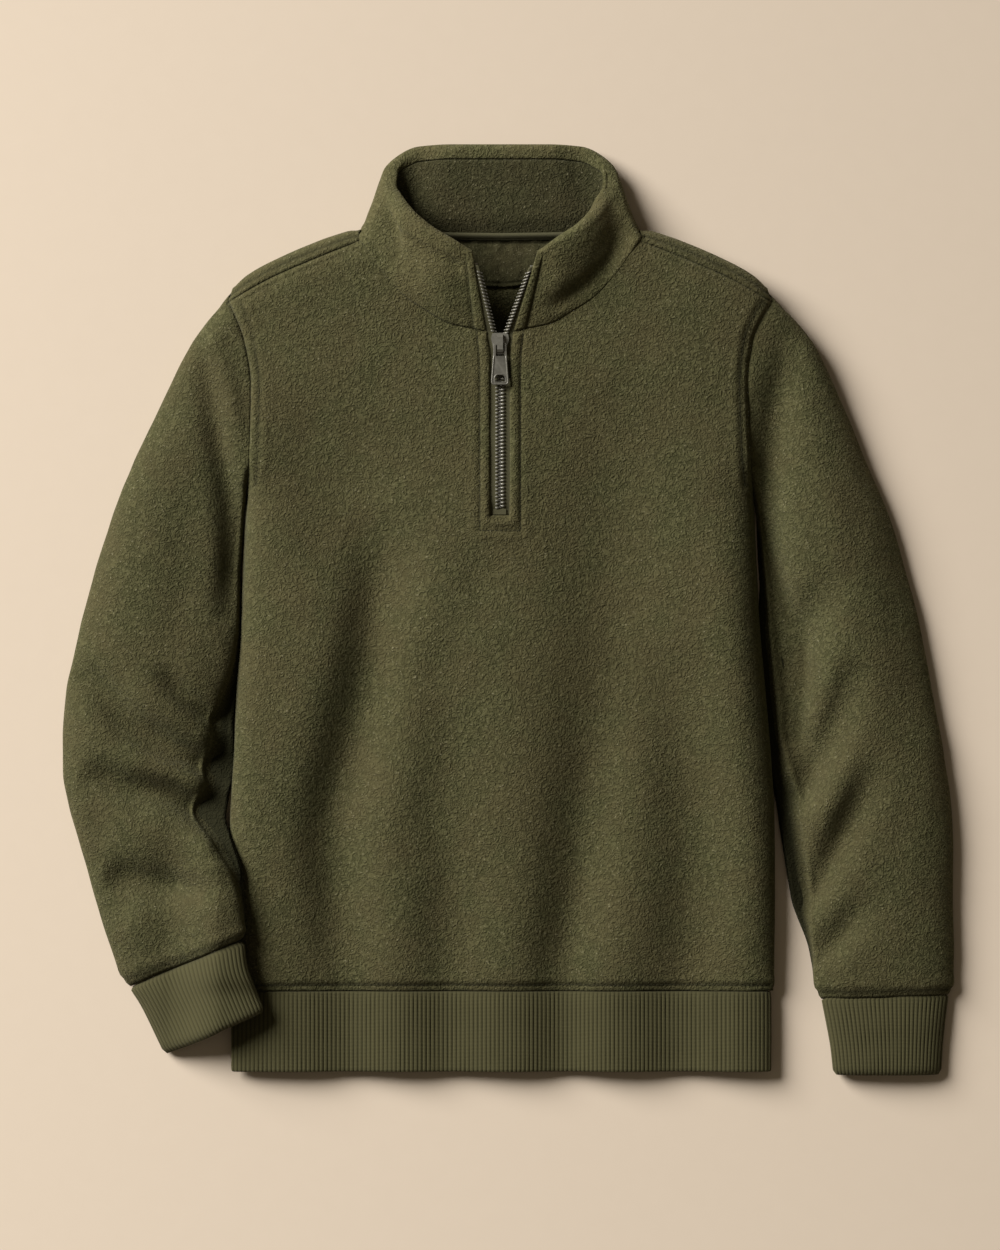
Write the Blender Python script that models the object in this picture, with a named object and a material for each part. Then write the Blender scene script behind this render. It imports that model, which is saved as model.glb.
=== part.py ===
"""Fleece pullover with a quarter zip and a stand collar, laid on its back on a flat surface.

+X runs to the wearer's left, +Y from the hem to the collar and +Z up from the surface. Lengths are in
millimetres until a mesh is made. The garment is drawn on a layout whose X is 0 at the centre front and whose
Y is 0 at the bottom of the hem, and it is moved at the end so that its origin is the middle of its
underside. Each cut piece is a wall of cloth: a grid of points on its outer face and the same grid moved
inwards by the cloth's thickness. Neighbouring pieces share the points of their seam, a small gap apart.
"""

import math

import bmesh
import bpy
import numpy as np

MM = 0.001
CLOTH = 3.0  # fleece
RIB = 3.4  # ribbed knit of the hem and cuffs
TAPE = 1.0  # woven zip tape and neck tape
GAP = 0.3  # between the pieces at a seam
EDGE_LIFT = 10.0  # height of the side seams above the surface
ARMPIT_Y = 455.0
HEM_DEPTH = 65.0
SEAM_POWER, BACK_POWER = 7.0, 16.0  # how square the sides of the front and of the back are
ARMHOLE_RISE = 0.72  # share of the crown that the armhole keeps
SHOULDER_ROUND = 32.0  # how far in the shoulder fold rounds off
FOLD_HEIGHT = 12.0  # half the height of the fold of the back over the shoulder
SLIT_HALF, SLIT_BOTTOM, SLIT_FLARE = 7.6, 446.0, 2.8
WELT = 18.0  # from the centre front to the stitching beside the zip
ROLL = 4.3  # radius of the collar's rolled top edge
ROLL_LEG = 12.0  # how far the outer collar comes down inside
ROLL_GAP = 1.1  # from there down to the inner collar


def table(columns, *rows):
    """The rows as a dictionary of arrays, one for each named column."""
    return dict(zip(columns.split(), np.array(rows, float).T))


# Plan of the body: where its two side edges are, up the side seams and then up the armholes.
BODY_PLAN = table(
    "y right left",
    (0, -217, 217.5),
    (65, -217.5, 219.5),
    (140, -219, 221),
    (203, -217, 220.5),
    (251, -214, 218),
    (299, -212, 214),
    (363, -208, 208.5),
    (411, -206, 206),
    (455, -204, 204),
    (492, -200.5, 200),
    (552, -199, 198),
    (586, -204, 202),
    (605, -211, 210),
    (621, -219, 220),
)
BODY_CROWN = table(
    "y height",
    (0, 15),
    (60, 16),
    (66, 17),
    (86, 22),
    (140, 25),
    (300, 29),
    (455, 32),
    (560, 34),
    (680, 38),
)
# Plan of the shoulder fold, from the neck to the shoulder point.
SHOULDER = table(
    "x y",
    (0, 800),
    (111, 680),
    (143, 668),
    (174, 655),
    (203, 639.5),
    (222, 621),
    (260, 588),
)
# The front neckline and the shoulder seam, from the centre front to the armhole.
TOP_EDGE = table(
    "x y",
    (21, 595),
    (40, 599),
    (59, 609.5),
    (75, 620),
    (91, 637),
    (102, 653),
    (112, 666),
    (135, 657),
    (152, 650),
    (182, 637),
    (217, 618),
)
NECK_COLUMNS, SHOULDER_COLUMNS = 6, 6
ARMPIT_SHARE = 0.7225  # of the way up the front's columns
# The back neckline, from the side of the neck to the centre back, with its height above the surface.
BACK_NECK = table(
    "x y z",
    (112, 666, 22),
    (112, 673, 13),
    (106, 676, 5.5),
    (94, 675.5, 1.5),
    (75, 674, 0),
    (38, 672.5, 0),
    (0, 672, 0),
)

# The long soft folds of the lower front: each row is a place down the fold.
FRONT_FOLDS = (
    table(
        "y x depth width",
        (60, -138, 1.5, 16),
        (107, -150, 4, 19),
        (155, -160, 7.5, 20),
        (251, -146, 8, 21),
        (347, -124, 6, 22),
        (427, -112, 2, 24),
        (470, -108, 0, 26),
    ),
    table(
        "y x depth width",
        (60, -67, 1.5, 14),
        (107, -69, 4, 16),
        (155, -70, 5, 17),
        (251, -64, 4, 19),
        (320, -58, 0, 20),
    ),
    table(
        "y x depth width",
        (60, 28, 1.5, 14),
        (107, 33, 5, 16),
        (155, 36, 6, 17),
        (251, 38, 5, 19),
        (347, 44, 3, 22),
        (430, 48, 0, 26),
    ),
    table(
        "y x depth width",
        (60, 110, 1.5, 14),
        (107, 118, 4.5, 16),
        (180, 131, 6.5, 18),
        (251, 128, 5.5, 19),
        (320, 138, 2.5, 20),
        (380, 142, 0, 22),
    ),
)
# The sleeves, cut by lines from the outer edge to the inner one: the edges' places and the height.
SLEEVE_RIGHT = table(
    "outer_x outer_y inner_x inner_y crown",
    (-246, 587, -205.5, 451, 28),
    (-271, 539, -206.3, 441, 30),
    (-294, 491, -207.5, 424, 32),
    (-313, 443, -209.5, 397, 33),
    (-328, 395, -212, 362, 34),
    (-339, 347, -216, 330, 34),
    (-347, 303, -223, 300, 33),
    (-350, 270, -233, 276, 32),
    (-350, 240, -234, 248, 31),
    (-345, 213, -241, 208, 29),
    (-338, 183, -229, 184, 28),
    (-328, 148, -212.5, 158, 26),
    (-315, 105, -205.5, 130, 24),
    (-304, 76, -204, 114, 22),
    (-299, 67.5, -205, 108, 20),
)
SLEEVE_LEFT = table(
    "outer_x outer_y inner_x inner_y crown",
    (250, 587, 205.5, 451, 28),
    (274, 539, 206.3, 441, 30),
    (294, 491, 207.5, 424, 32),
    (314, 443, 209.8, 397, 33),
    (328, 395, 212.5, 360, 34),
    (340, 347, 216, 325, 34),
    (348, 303, 220, 287, 33),
    (357, 255, 227, 247, 32),
    (363, 215, 238, 205, 31),
    (364.5, 175, 244.5, 175, 29),
    (364.5, 139, 246.5, 140, 28),
    (365, 100, 250, 104, 26),
    (365, 76, 252, 76, 22),
    (361.5, 61, 256.5, 58, 18),
)
CUFF_RIGHT = table(
    "outer_x outer_y inner_x inner_y crown",
    (-291, 56, -202, 88, 20),
    (-281, 37, -195, 68, 19.5),
    (-271, 16, -189, 52, 19),
)
CUFF_LEFT = table(
    "outer_x outer_y inner_x inner_y crown",
    (356.5, 40, 262.5, 38, 18),
    (355, 20, 266, 16, 17.5),
    (354, -2.5, 268, -2.5, 17),
)
# Where the right sleeve's end lies on the body's edge: how high its underside is carried.
RIDE = table("y height", (0, 18.5), (62, 18.5), (80, 22.5), (160, 22.5), (196, 12), (236, 0))
RIDE_START, RIDE_FULL = -268.0, -222.0
# Troughs of the sleeves: each row is a place along the trough.
SLEEVE_FOLDS = (
    table(
        "x y depth width",
        (-236, 579, 2, 9),
        (-222, 505, 6, 10),
        (-213, 427, 6, 9),
        (-214, 395, 0, 8),
    ),
    table(
        "x y depth width",
        (228, 587, 2, 9),
        (214, 470, 8, 10),
        (211, 411, 6, 9),
        (214, 380, 0, 8),
    ),
    table(
        "x y depth width",
        (-318, 322, 0, 9),
        (-285, 315, 4, 10),
        (-240, 288, 6, 9),
        (-226, 283, 6, 8),
    ),
    table(
        "x y depth width",
        (-322, 264, 0, 9),
        (-280, 245, 4, 10),
        (-245, 227, 6, 9),
        (-232, 222, 6, 8),
    ),
    table("x y depth width", (-300, 182, 0, 12), (-275, 178, 4, 13), (-255, 180, 0, 12)),
    table("x y depth width", (225, 335, 5, 9), (245, 370, 5, 11), (264, 405, 0, 12)),
    table("x y depth width", (229, 284, 6, 9), (252, 305, 5, 11), (280, 330, 0, 12)),
    table("x y depth width", (243, 215, 5, 10), (265, 238, 4, 11), (290, 262, 0, 12)),
    table("x y depth width", (253, 160, 5, 10), (275, 190, 4, 12), (298, 218, 0, 12)),
)
# The collar's top edge over each kind of place on the neckline, from the centre back round to the zip.
RIM = table(
    "along x y z",
    (0, 0, 745, 4.3),
    (0.17, 40, 745, 4.3),
    (0.30, 68, 744.5, 5),
    (0.38, 82, 740, 9),
    (0.46, 91, 730, 17),
    (0.54, 92, 717, 26),
    (0.62, 86, 703, 35),
    (0.72, 75, 688, 43),
    (0.81, 61, 675.5, 48),
    (0.90, 40, 663.5, 50),
    (1, 23, 653.5, 50),
)
BELLY = 3.0
LEG_CORNERS = ((0, 2 * ROLL), (ROLL_LEG, 2 * ROLL), (ROLL_LEG, 2 * ROLL - CLOTH), (0, 2 * ROLL - CLOTH))
COLLAR_GAP = 0.75  # between the collar's layers and the body, whose seam turns sharply
INNER_DEPTH = CLOTH + 1.6  # of the inner collar's lower edge below the outer collar's face
RIM_LEAN = 8.0  # the left corner at the zip falls open this much further


def column(data, key, at, name):
    """One column of a table, read between its rows."""
    order = np.argsort(data[key])
    return np.interp(at, data[key][order], data[name][order])


def smooth(t):
    """0 to 1 with flat ends."""
    t = np.clip(t, 0, 1)
    return t * t * (3 - 2 * t)


def unit(vectors):
    """The vectors at length 1."""
    return vectors / np.maximum(np.linalg.norm(vectors, axis=-1, keepdims=True), 1e-9)


def edge_x(y, side):
    """The body's edge in plan on the wearer's right (-1) or left (1)."""
    return column(BODY_PLAN, "y", y, "left" if side > 0 else "right")


def share_across(x, y):
    """How far a point is from the centre front to its side edge, 0 to 1."""
    return np.clip(np.where(x < 0, x / edge_x(y, -1), x / edge_x(y, 1)), 0, 1)


def armhole_share(y, full):
    """How much of the height the side edge keeps: none down the side seam, and full up the armhole."""
    return full * smooth((y - ARMPIT_Y) / 42)


def shoulder_share(x, y):
    """0 on the shoulder fold, 1 well inside it, as a quarter of an ellipse."""
    inside = (column(SHOULDER, "x", np.abs(x), "y") - y) / SHOULDER_ROUND
    return np.sqrt(1 - (1 - np.clip(inside, 0, 1)) ** 2)


def fold_depth(x, y):
    """The front's soft folds, as bell-shaped troughs along their lines."""
    total = np.zeros_like(x)
    for fold in FRONT_FOLDS:
        middle, depth, width = (column(fold, "y", y, name) for name in ("x", "depth", "width"))
        total += depth * np.exp(-(((x - middle) / width) ** 2))
    return total


def front_height(x, y):
    """Height of the front's outer face: a crown with square sides, the shoulder's rounding and the folds."""
    crown = column(BODY_CROWN, "y", y, "height")
    keep = armhole_share(y, ARMHOLE_RISE)
    side = keep + (1 - keep) * np.sqrt(1 - share_across(x, y) ** SEAM_POWER)
    return EDGE_LIFT + (crown - EDGE_LIFT - fold_depth(x, y)) * side * shoulder_share(x, y)


def back_height(x, y):
    """Height of the back's outer face: flat on the surface, curling up to the side seams."""
    keep = armhole_share(y, 1.0)
    side = keep + (1 - keep) * np.sqrt(1 - share_across(x, y) ** BACK_POWER)
    return EDGE_LIFT * (1 - side)


def grid_inward(points, closed=False):
    """Unit vectors into the wall at each point of a grid whose rows turn the outer face towards us."""
    padded = np.concatenate([points[:, -1:], points, points[:, :1]], 1) if closed else points
    across = np.gradient(padded, axis=1)
    across = across[:, 1:-1] if closed else across
    return -unit(np.cross(across, np.gradient(points, axis=0)))


def wall_mesh(name, outer, inward, thickness, colour, roughness, closed=False, skipped=lambda r, c: False):
    """A closed wall on a grid of outer points: both faces, and a strip along every free edge."""
    rows, columns = outer.shape[:2]
    count = rows * columns
    points = np.concatenate([outer.reshape(-1, 3), (outer + inward * thickness).reshape(-1, 3)])
    faces, edges = [], {}
    for row in range(rows - 1):
        for start in range(columns if closed else columns - 1):
            if skipped(row, start):
                continue
            end = (start + 1) % columns
            low, high = row * columns, (row + 1) * columns
            quad = (low + start, low + end, high + end, high + start)
            faces += [quad, tuple(i + count for i in reversed(quad))]
            for a, b in zip(quad, quad[1:] + quad[:1]):
                edges[(a, b)] = True
    for a, b in edges:
        if (b, a) not in edges:
            faces.append((b, a, a + count, b + count))
    return solid(name, points, faces, colour, roughness)


def solid(name, points, faces, colour, roughness, metallic=0.0, offset=(0, 0, 0)):
    """An object of these faces, turned to face out, with a plain material of its own."""
    mesh = bpy.data.meshes.new(name)
    mesh.from_pydata([tuple((np.asarray(p, float) - offset) * MM) for p in points], [], faces)
    shape = bmesh.new()
    shape.from_mesh(mesh)
    bmesh.ops.delete(shape, geom=[v for v in shape.verts if not v.link_faces], context="VERTS")
    bmesh.ops.triangulate(shape, faces=[f for f in shape.faces if len(f.verts) > 4])
    if shape.calc_volume(signed=True) < 0:
        bmesh.ops.reverse_faces(shape, faces=shape.faces)
    shape.to_mesh(mesh)
    shape.free()
    material = bpy.data.materials.new(name)
    material.use_nodes = True
    shader = material.node_tree.nodes["Principled BSDF"]
    shader.inputs["Base Color"].default_value = (*colour, 1)
    shader.inputs["Roughness"].default_value = roughness
    shader.inputs["Metallic"].default_value = metallic
    mesh.materials.append(material)
    made = bpy.data.objects.new(name, mesh)
    made.location = np.array(offset) * MM
    bpy.context.collection.objects.link(made)
    return made


FLEECE = (0.075, 0.066, 0.029)
KNIT = (0.06, 0.053, 0.024)
WOVEN = (0.045, 0.04, 0.02)
METAL = (0.16, 0.15, 0.13)


def seam_points():
    """The top edge of the front on the wearer's left: the neckline's points, then the shoulder seam's."""
    x, y = TOP_EDGE["x"], TOP_EDGE["y"]
    along = np.concatenate([[0], np.cumsum(np.hypot(np.diff(x), np.diff(y)))])
    corner = along[np.argmin(np.abs(x - 112))]
    neck = np.linspace(0, corner, NECK_COLUMNS + 1)
    stops = np.concatenate([neck, np.linspace(corner, along[-1], SHOULDER_COLUMNS + 1)[1:]])
    return np.interp(stops, along, x), np.interp(stops, along, y)


def slit_x(y):
    """Half the width of the zip's slit, which flares at the neckline."""
    return SLIT_HALF + SLIT_FLARE * smooth((y - 574) / 20)


def front_half(side):
    """The front's grid on one side, rows from the hem up and columns from the slit's edge to the side."""
    top_x, top_y = seam_points()
    columns = len(top_x)
    across = np.linspace(WELT / 215, 1, columns) ** 0.9
    above = ARMPIT_SHARE + (1 - ARMPIT_SHARE) * np.sin(np.linspace(0, math.pi / 2, 8))[1:]
    rows = np.concatenate([[0, 0.013, 0.04], np.linspace(0.1, ARMPIT_SHARE, 10), above])
    y = HEM_DEPTH + GAP + rows[:, None] * (top_y - HEM_DEPTH - GAP)
    top_share = top_x / np.abs(edge_x(top_y, side))
    top_share[-1] = 1
    bottom_share = np.sin(math.pi / 2 * across)
    share = bottom_share + smooth(rows[:, None]) * (top_share - bottom_share)
    x = side * share * np.abs(edge_x(y, side))
    x[:, 0] = side * (WELT + 3 * smooth((y[:, 0] - 574) / 20))
    slit_y = HEM_DEPTH + GAP + rows * (593 - HEM_DEPTH - GAP)
    slit_y[np.argmin(np.abs(rows - ARMPIT_SHARE))] = SLIT_BOTTOM
    x = np.column_stack([side * slit_x(slit_y), x])
    y = np.column_stack([slit_y, y])
    return np.stack([x, y, front_height(x, y)], -1)


def back_half(side, front):
    """The back's grid on one side, rows from the hem, over the shoulder fold, to the seam on the front."""
    seam = front[-1, 2 + NECK_COLUMNS - 1 :]
    neck = np.stack([BACK_NECK["x"] * side, BACK_NECK["y"], BACK_NECK["z"]], -1)[1:][::-1]
    neck[:, 2] = np.minimum(neck[:, 2], seam[0, 2] - 6)
    ends = np.concatenate([neck, seam + (0, GAP, 0)])
    rows_y = front[:, -1, 1]
    armpit = np.argmin(np.abs(rows_y - ARMPIT_Y))
    turn = np.arccos(np.clip(1 - ends[:, 2] / FOLD_HEIGHT, -1, 1))
    fold_y = column(SHOULDER, "x", np.abs(ends[:, 0]), "y")
    reach = np.where(turn > math.pi / 2, (fold_y - ends[:, 1]) / np.maximum(1 - np.sin(turn), 0.05), 28.0)
    length = np.clip(reach, 10, 30) * np.sin(turn)
    length = np.where(turn < math.pi / 2, np.maximum(length, 18), length)
    start_y = ends[:, 1] - length
    low = (rows_y[: armpit + 1, None] - HEM_DEPTH) / (ARMPIT_Y - HEM_DEPTH)
    y_low = HEM_DEPTH + low * (rows_y[armpit] - HEM_DEPTH) * np.ones(len(ends))
    y_low[:, -1] = rows_y[: armpit + 1]
    high = np.linspace(0, 1, 5)[1:, None]
    y_high = rows_y[armpit] + high * (start_y - rows_y[armpit])
    y = np.concatenate([y_low, y_high])
    share = np.sin(math.pi / 2 * np.linspace(0, 1, len(ends)) ** 0.9)
    end_share = np.minimum(np.abs(ends[:, 0]) / np.abs(edge_x(start_y, side)), 1)
    end_share[-1] = 1
    mix = smooth((y - HEM_DEPTH) / (start_y - HEM_DEPTH))
    x = side * (share + mix * (end_share - share)) * np.abs(edge_x(y, side))
    flat = np.stack([x, y, back_height(x, y)], -1)
    arc = []
    for part in np.linspace(0, 1, 5)[1:]:
        angle = turn * part
        share_up = np.where(turn > 0.05, np.sin(angle) / np.maximum(np.sin(turn), 0.05), part)
        place = start_y + length * share_up
        across = flat[-1, :, 0] + (ends[:, 0] - flat[-1, :, 0]) * part
        arc.append(np.stack([across, place, FOLD_HEIGHT * (1 - np.cos(angle))], -1))
    arc[-1] = ends
    return np.concatenate([flat, np.array(arc)])


def ring_inward(ring, across):
    """Inward vectors of a closed ring of points, within the upright plane along a direction in plan."""
    across = unit(np.array([*across, 0.0]))
    up = np.array([0.0, 0.0, 1.0])
    along = np.roll(ring, -1, 0) - np.roll(ring, 1, 0)
    turned = unit((along @ up)[:, None] * across - (along @ across)[:, None] * up)
    return -turned if np.sum(turned * (ring - ring.mean(0))) > 0 else turned


def clear_of_seam(points, inward, side):
    """Turns the inward vectors near a side seam so that the inner face stays on its own side of the seam."""
    room = np.maximum((points[..., 2] - EDGE_LIFT) * side - GAP / 2, 0) / CLOTH
    beyond = (-inward[..., 2] * side > room) & (points[..., 1] < ARMPIT_Y - 1)
    level = -np.sign(points[..., 0]) * np.sqrt(1 - np.minimum(room, 1) ** 2)
    turned = np.stack([level, np.zeros_like(level), -side * room], -1)
    return np.where(beyond[..., None], turned, inward)


def neck_inward(points):
    """Inward vectors round the neck: down at the front, up at the back and across at the sides."""
    across = -np.sign(points[:, 0]) * smooth((np.abs(points[:, 0]) - 45) / 60)
    up = np.clip((24 - points[:, 2]) / 20, -1, 1)
    return unit(np.stack([across, np.zeros(len(points)), up], -1))


def body():
    """The front and back, and the rings of points that their neighbours share."""
    halves = {side: front_half(side) for side in (-1, 1)}
    backs = {side: back_half(side, halves[side]) for side in (-1, 1)}
    front = np.concatenate([halves[-1][:, ::-1], halves[1]], 1)
    back = np.concatenate([backs[-1][:, ::-1], backs[1][:, 1:]], 1)
    front_in, back_in = grid_inward(front), grid_inward(back[:, ::-1])[:, ::-1]
    armpit = np.argmin(np.abs(halves[1][:, -1, 1] - ARMPIT_Y))
    rings = {"armpit": armpit}
    for side in (-1, 1):
        edge = 0 if side < 0 else -1
        front_in[:, edge] = (-side, 0, 0)
        back_in[: armpit + 1, edge] = (-side, 0, 0)
        ring = np.concatenate([halves[side][armpit:-1, -1], backs[side][armpit + 1 :, -1][::-1]])
        inward = ring_inward(ring, (0, 1))
        inward[0] = unit(np.array([-side * 0.3, 1.0, 0.0]))
        rings[side] = (ring, inward)
        rise = len(halves[side]) - 1 - armpit
        front_in[armpit:-1, edge] = inward[:rise]
        front_in[-1, edge] = inward[rise]
        back_in[armpit + 1 :, edge] = inward[rise:][::-1]
        back_in[armpit, edge] = inward[0]
    middle, back_middle = front.shape[1] // 2, back.shape[1] // 2
    span = len(BACK_NECK["x"]) - 1
    for side in (-1, 1):
        first = middle if side > 0 else middle - 1
        neck = [first + side * i for i in range(NECK_COLUMNS + 2)]
        front_in[-1, neck] = neck_inward(front[-1, neck])
        back_neck = [back_middle + side * i for i in range(span + 1)]
        back_in[-1, back_neck] = neck_inward(back[-1, back_neck])
        shoulder_front = [first + side * (NECK_COLUMNS + 1 + i) for i in range(1, SHOULDER_COLUMNS)]
        shoulder_back = [back_middle + side * (span + i) for i in range(1, SHOULDER_COLUMNS)]
        back_in[-1, shoulder_back] = front_in[-1, shoulder_front]
        back_in[-1, back_middle + side * span] = front_in[-1, neck[-1]]
    hem = np.concatenate([front[0], back[0, ::-1][1:-1]])
    hem_in = ring_inward(hem, (1, 0))
    hem_in[0], hem_in[front.shape[1] - 1] = (1, 0, 0), (-1, 0, 0)
    front_in[0] = hem_in[: front.shape[1]]
    back_in[0, 1:-1] = hem_in[front.shape[1] :][::-1]
    back_in[0, 0], back_in[0, -1] = hem_in[0], hem_in[front.shape[1] - 1]
    front_in, back_in = clear_of_seam(front, front_in, 1), clear_of_seam(back, back_in, -1)
    shifted = front.copy()
    shifted[: armpit + 1, 0, 2] += GAP / 2
    shifted[: armpit + 1, -1, 2] += GAP / 2
    lowered = back.copy()
    lowered[: armpit + 1, 0, 2] -= GAP / 2
    lowered[: armpit + 1, -1, 2] -= GAP / 2

    def in_slit(row, start):
        return start == middle - 1 and row >= armpit

    wall_mesh("front_panel", shifted, front_in, CLOTH, FLEECE, 0.95, skipped=in_slit)
    wall_mesh("back_panel", lowered, back_in, CLOTH, FLEECE, 0.95)
    rings["hem"] = (hem, hem_in)
    for side in (-1, 1):
        first = middle if side > 0 else middle - 1
        front_neck = [first + side * i for i in range(NECK_COLUMNS + 2)]
        back_neck = [back_middle + side * i for i in range(span)]
        points = np.concatenate([back[-1, back_neck], front[-1, front_neck][::-1]])
        inward = np.concatenate([back_in[-1, back_neck], front_in[-1, front_neck][::-1]])
        rings["neck", side] = (points, inward)
    return rings


def sleeve_fold_depth(x, y):
    """The sleeves' troughs, each a bell across the line of its table."""
    total = np.zeros_like(x)
    for fold in SLEEVE_FOLDS:
        stops = np.linspace(0, 1, 25)
        line = np.linspace(0, 1, len(fold["x"]))
        fx, fy, depth, width = (np.interp(stops, line, fold[key]) for key in ("x", "y", "depth", "width"))
        away = np.hypot(x[..., None] - fx, y[..., None] - fy) / width
        total += (depth * np.exp(-(away**2))).max(-1)
    return total


def tube_rings(ring, sections, ride, blend_rows=3.0):
    """Rings of points down a sleeve: the first ring, changing into flat-bottomed ellipse-like sections."""
    turn_at = np.argmax(ring[:, 1])
    lengths = np.linalg.norm(np.diff(np.concatenate([ring, ring[:1]]), axis=0), axis=1)
    along = np.concatenate([[0], np.cumsum(lengths)])
    whole, turn = along[-1], along[turn_at]
    first, second = along[:-1] / turn, (along[:-1] - turn) / (whole - turn)
    angle = math.pi * np.where(first <= 1, 1 - first, -second)
    start, end = ring[turn_at, :2], ring[0, :2]
    chord = end - start
    local = ring[:, :2] - start
    share = local @ chord / (chord @ chord)
    beside = local[:, 0] * -chord[1] + local[:, 1] * chord[0]
    beside /= np.linalg.norm(chord)
    cosine, sine = np.cos(angle), np.sin(angle)
    section_share = 0.5 - 0.5 * np.sign(cosine) * np.abs(cosine) ** 0.8
    rings = []
    for row in range(len(sections["crown"])):
        mix = smooth((row + 1) / blend_rows)
        outer = np.array([sections["outer_x"][row], sections["outer_y"][row]])
        inner = np.array([sections["inner_x"][row], sections["inner_y"][row]])
        across = inner - outer
        normal = unit(np.array([-across[1], across[0]]))
        place = share + mix * (section_share - share)
        plan = outer + place[:, None] * across + normal * (beside * (1 - mix))[:, None]
        middle = min(EDGE_LIFT, 0.5 * sections["crown"][row])
        top = middle + (sections["crown"][row] - middle) * np.abs(sine) ** 0.75
        low = middle * (1 - np.abs(sine) ** 0.4)
        height = np.where(sine >= 0, top, low)
        height = ring[:, 2] + mix * (height - ring[:, 2])
        lift = ride(plan[:, 0], plan[:, 1])
        fold = np.minimum(sleeve_fold_depth(plan[:, 0], plan[:, 1]), 0.45 * height)
        height = height - np.maximum(sine, 0) * fold + lift
        rings.append(np.column_stack([plan, height]))
    return np.array(rings)


def ride_height(x, y):
    """How far the body's edge carries the right sleeve's end up."""
    return column(RIDE, "y", y, "height") * smooth((x - RIDE_START) / (RIDE_FULL - RIDE_START))


def sleeve(side, ring, inward, sections, cuff_sections, ride):
    """A sleeve on the armhole's ring and its ribbed cuff."""
    name = "right" if side < 0 else "left"
    start = ring + (side * GAP, 0, 0)
    rings = np.concatenate([start[None], tube_rings(ring, sections, ride)])
    turned = rings if side > 0 else rings[:, ::-1]
    directions = grid_inward(turned, closed=True)
    directions[0] = inward if side > 0 else inward[::-1]
    centre = turned[-1].mean(0)
    if np.sum(directions[-2] * (centre - turned[-2])) < 0:
        directions[1:] = -directions[1:]
    end = [sections[key][-1] for key in ("outer_x", "inner_x", "outer_y", "inner_y")]
    directions[-1] = ring_inward(turned[-1], (end[1] - end[0], end[3] - end[2]))
    wall_mesh(f"sleeve_{name}", turned, directions, CLOTH, FLEECE, 0.95, closed=True)
    cuff = tube_rings(ring, cuff_sections, ride, blend_rows=0.1)
    cuff = cuff if side > 0 else cuff[:, ::-1]
    down = unit(cuff[0].mean(0) - turned[-1].mean(0))
    cuff = np.concatenate([(turned[-1] + down * GAP)[None], cuff])
    cuff_in = grid_inward(cuff, closed=True)
    if np.sum(cuff_in[-1] * (cuff[-1].mean(0) - cuff[-1])) < 0:
        cuff_in = -cuff_in
    cuff_in[0] = directions[-1]
    wall_mesh(f"cuff_{name}", cuff, cuff_in, RIB, KNIT, 0.9, closed=True)


def hem(ring, inward):
    """The hem's ribbed band, a little narrower and flatter than the body above it."""
    rows = [ring - (0, GAP, 0)]
    for y in (HEM_DEPTH - 6, 34, 2.0, 0):
        points = ring.copy()
        points[:, 1] = y
        squeeze = 0.994 if y > 1 else 0.992
        points[:, 0] *= squeeze
        lower = (ring[:, 2] > EDGE_LIFT) * (ring[:, 2] - EDGE_LIFT) * (0.12 + 0.18 * (1 - y / HEM_DEPTH))
        points[:, 2] -= lower
        rows.append(points)
    outer = np.array(rows)
    wall_mesh("hem_rib", outer, np.broadcast_to(inward, outer.shape), RIB, KNIT, 0.9, closed=True)


def collar_stations(rings):
    """The collar's base and rim over each point of the neckline, from the zip round the back to the zip."""
    bases, rims, inward = [], [], []
    for side in (-1, 1):
        points, directions = rings["neck", side]
        steps = np.linalg.norm(np.diff(points, axis=0), axis=1)
        along = np.concatenate([[0], np.cumsum(steps)]) / steps.sum()
        rim = np.stack([np.interp(along, RIM["along"], RIM[name]) for name in ("x", "y", "z")], -1)
        rim[:, 0] *= side
        if side > 0:
            rim[:, 0] += RIM_LEAN * smooth((along - 0.55) / 0.45)
        order = slice(None, None, -1) if side < 0 else slice(1, None)
        bases.append(points[order])
        rims.append(rim[order])
        inward.append(directions[order])
    return np.concatenate(bases), np.concatenate(rims), np.concatenate(inward)


def collar_point(base, rim, base_in, rim_in, height, depth):
    """Points of the collar, so far above its seam and so deep into it; its front has a slight belly."""
    rise = rim - base
    tall = np.linalg.norm(rise, axis=-1, keepdims=True)
    share = height / tall
    inward = unit(base_in + share * (rim_in - base_in))
    belly = BELLY * np.clip(-inward[:, 2:], 0, 1) * np.clip(4 * share * (1 - share), 0, 1)
    return base + rise * share + inward * (depth - belly)


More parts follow.
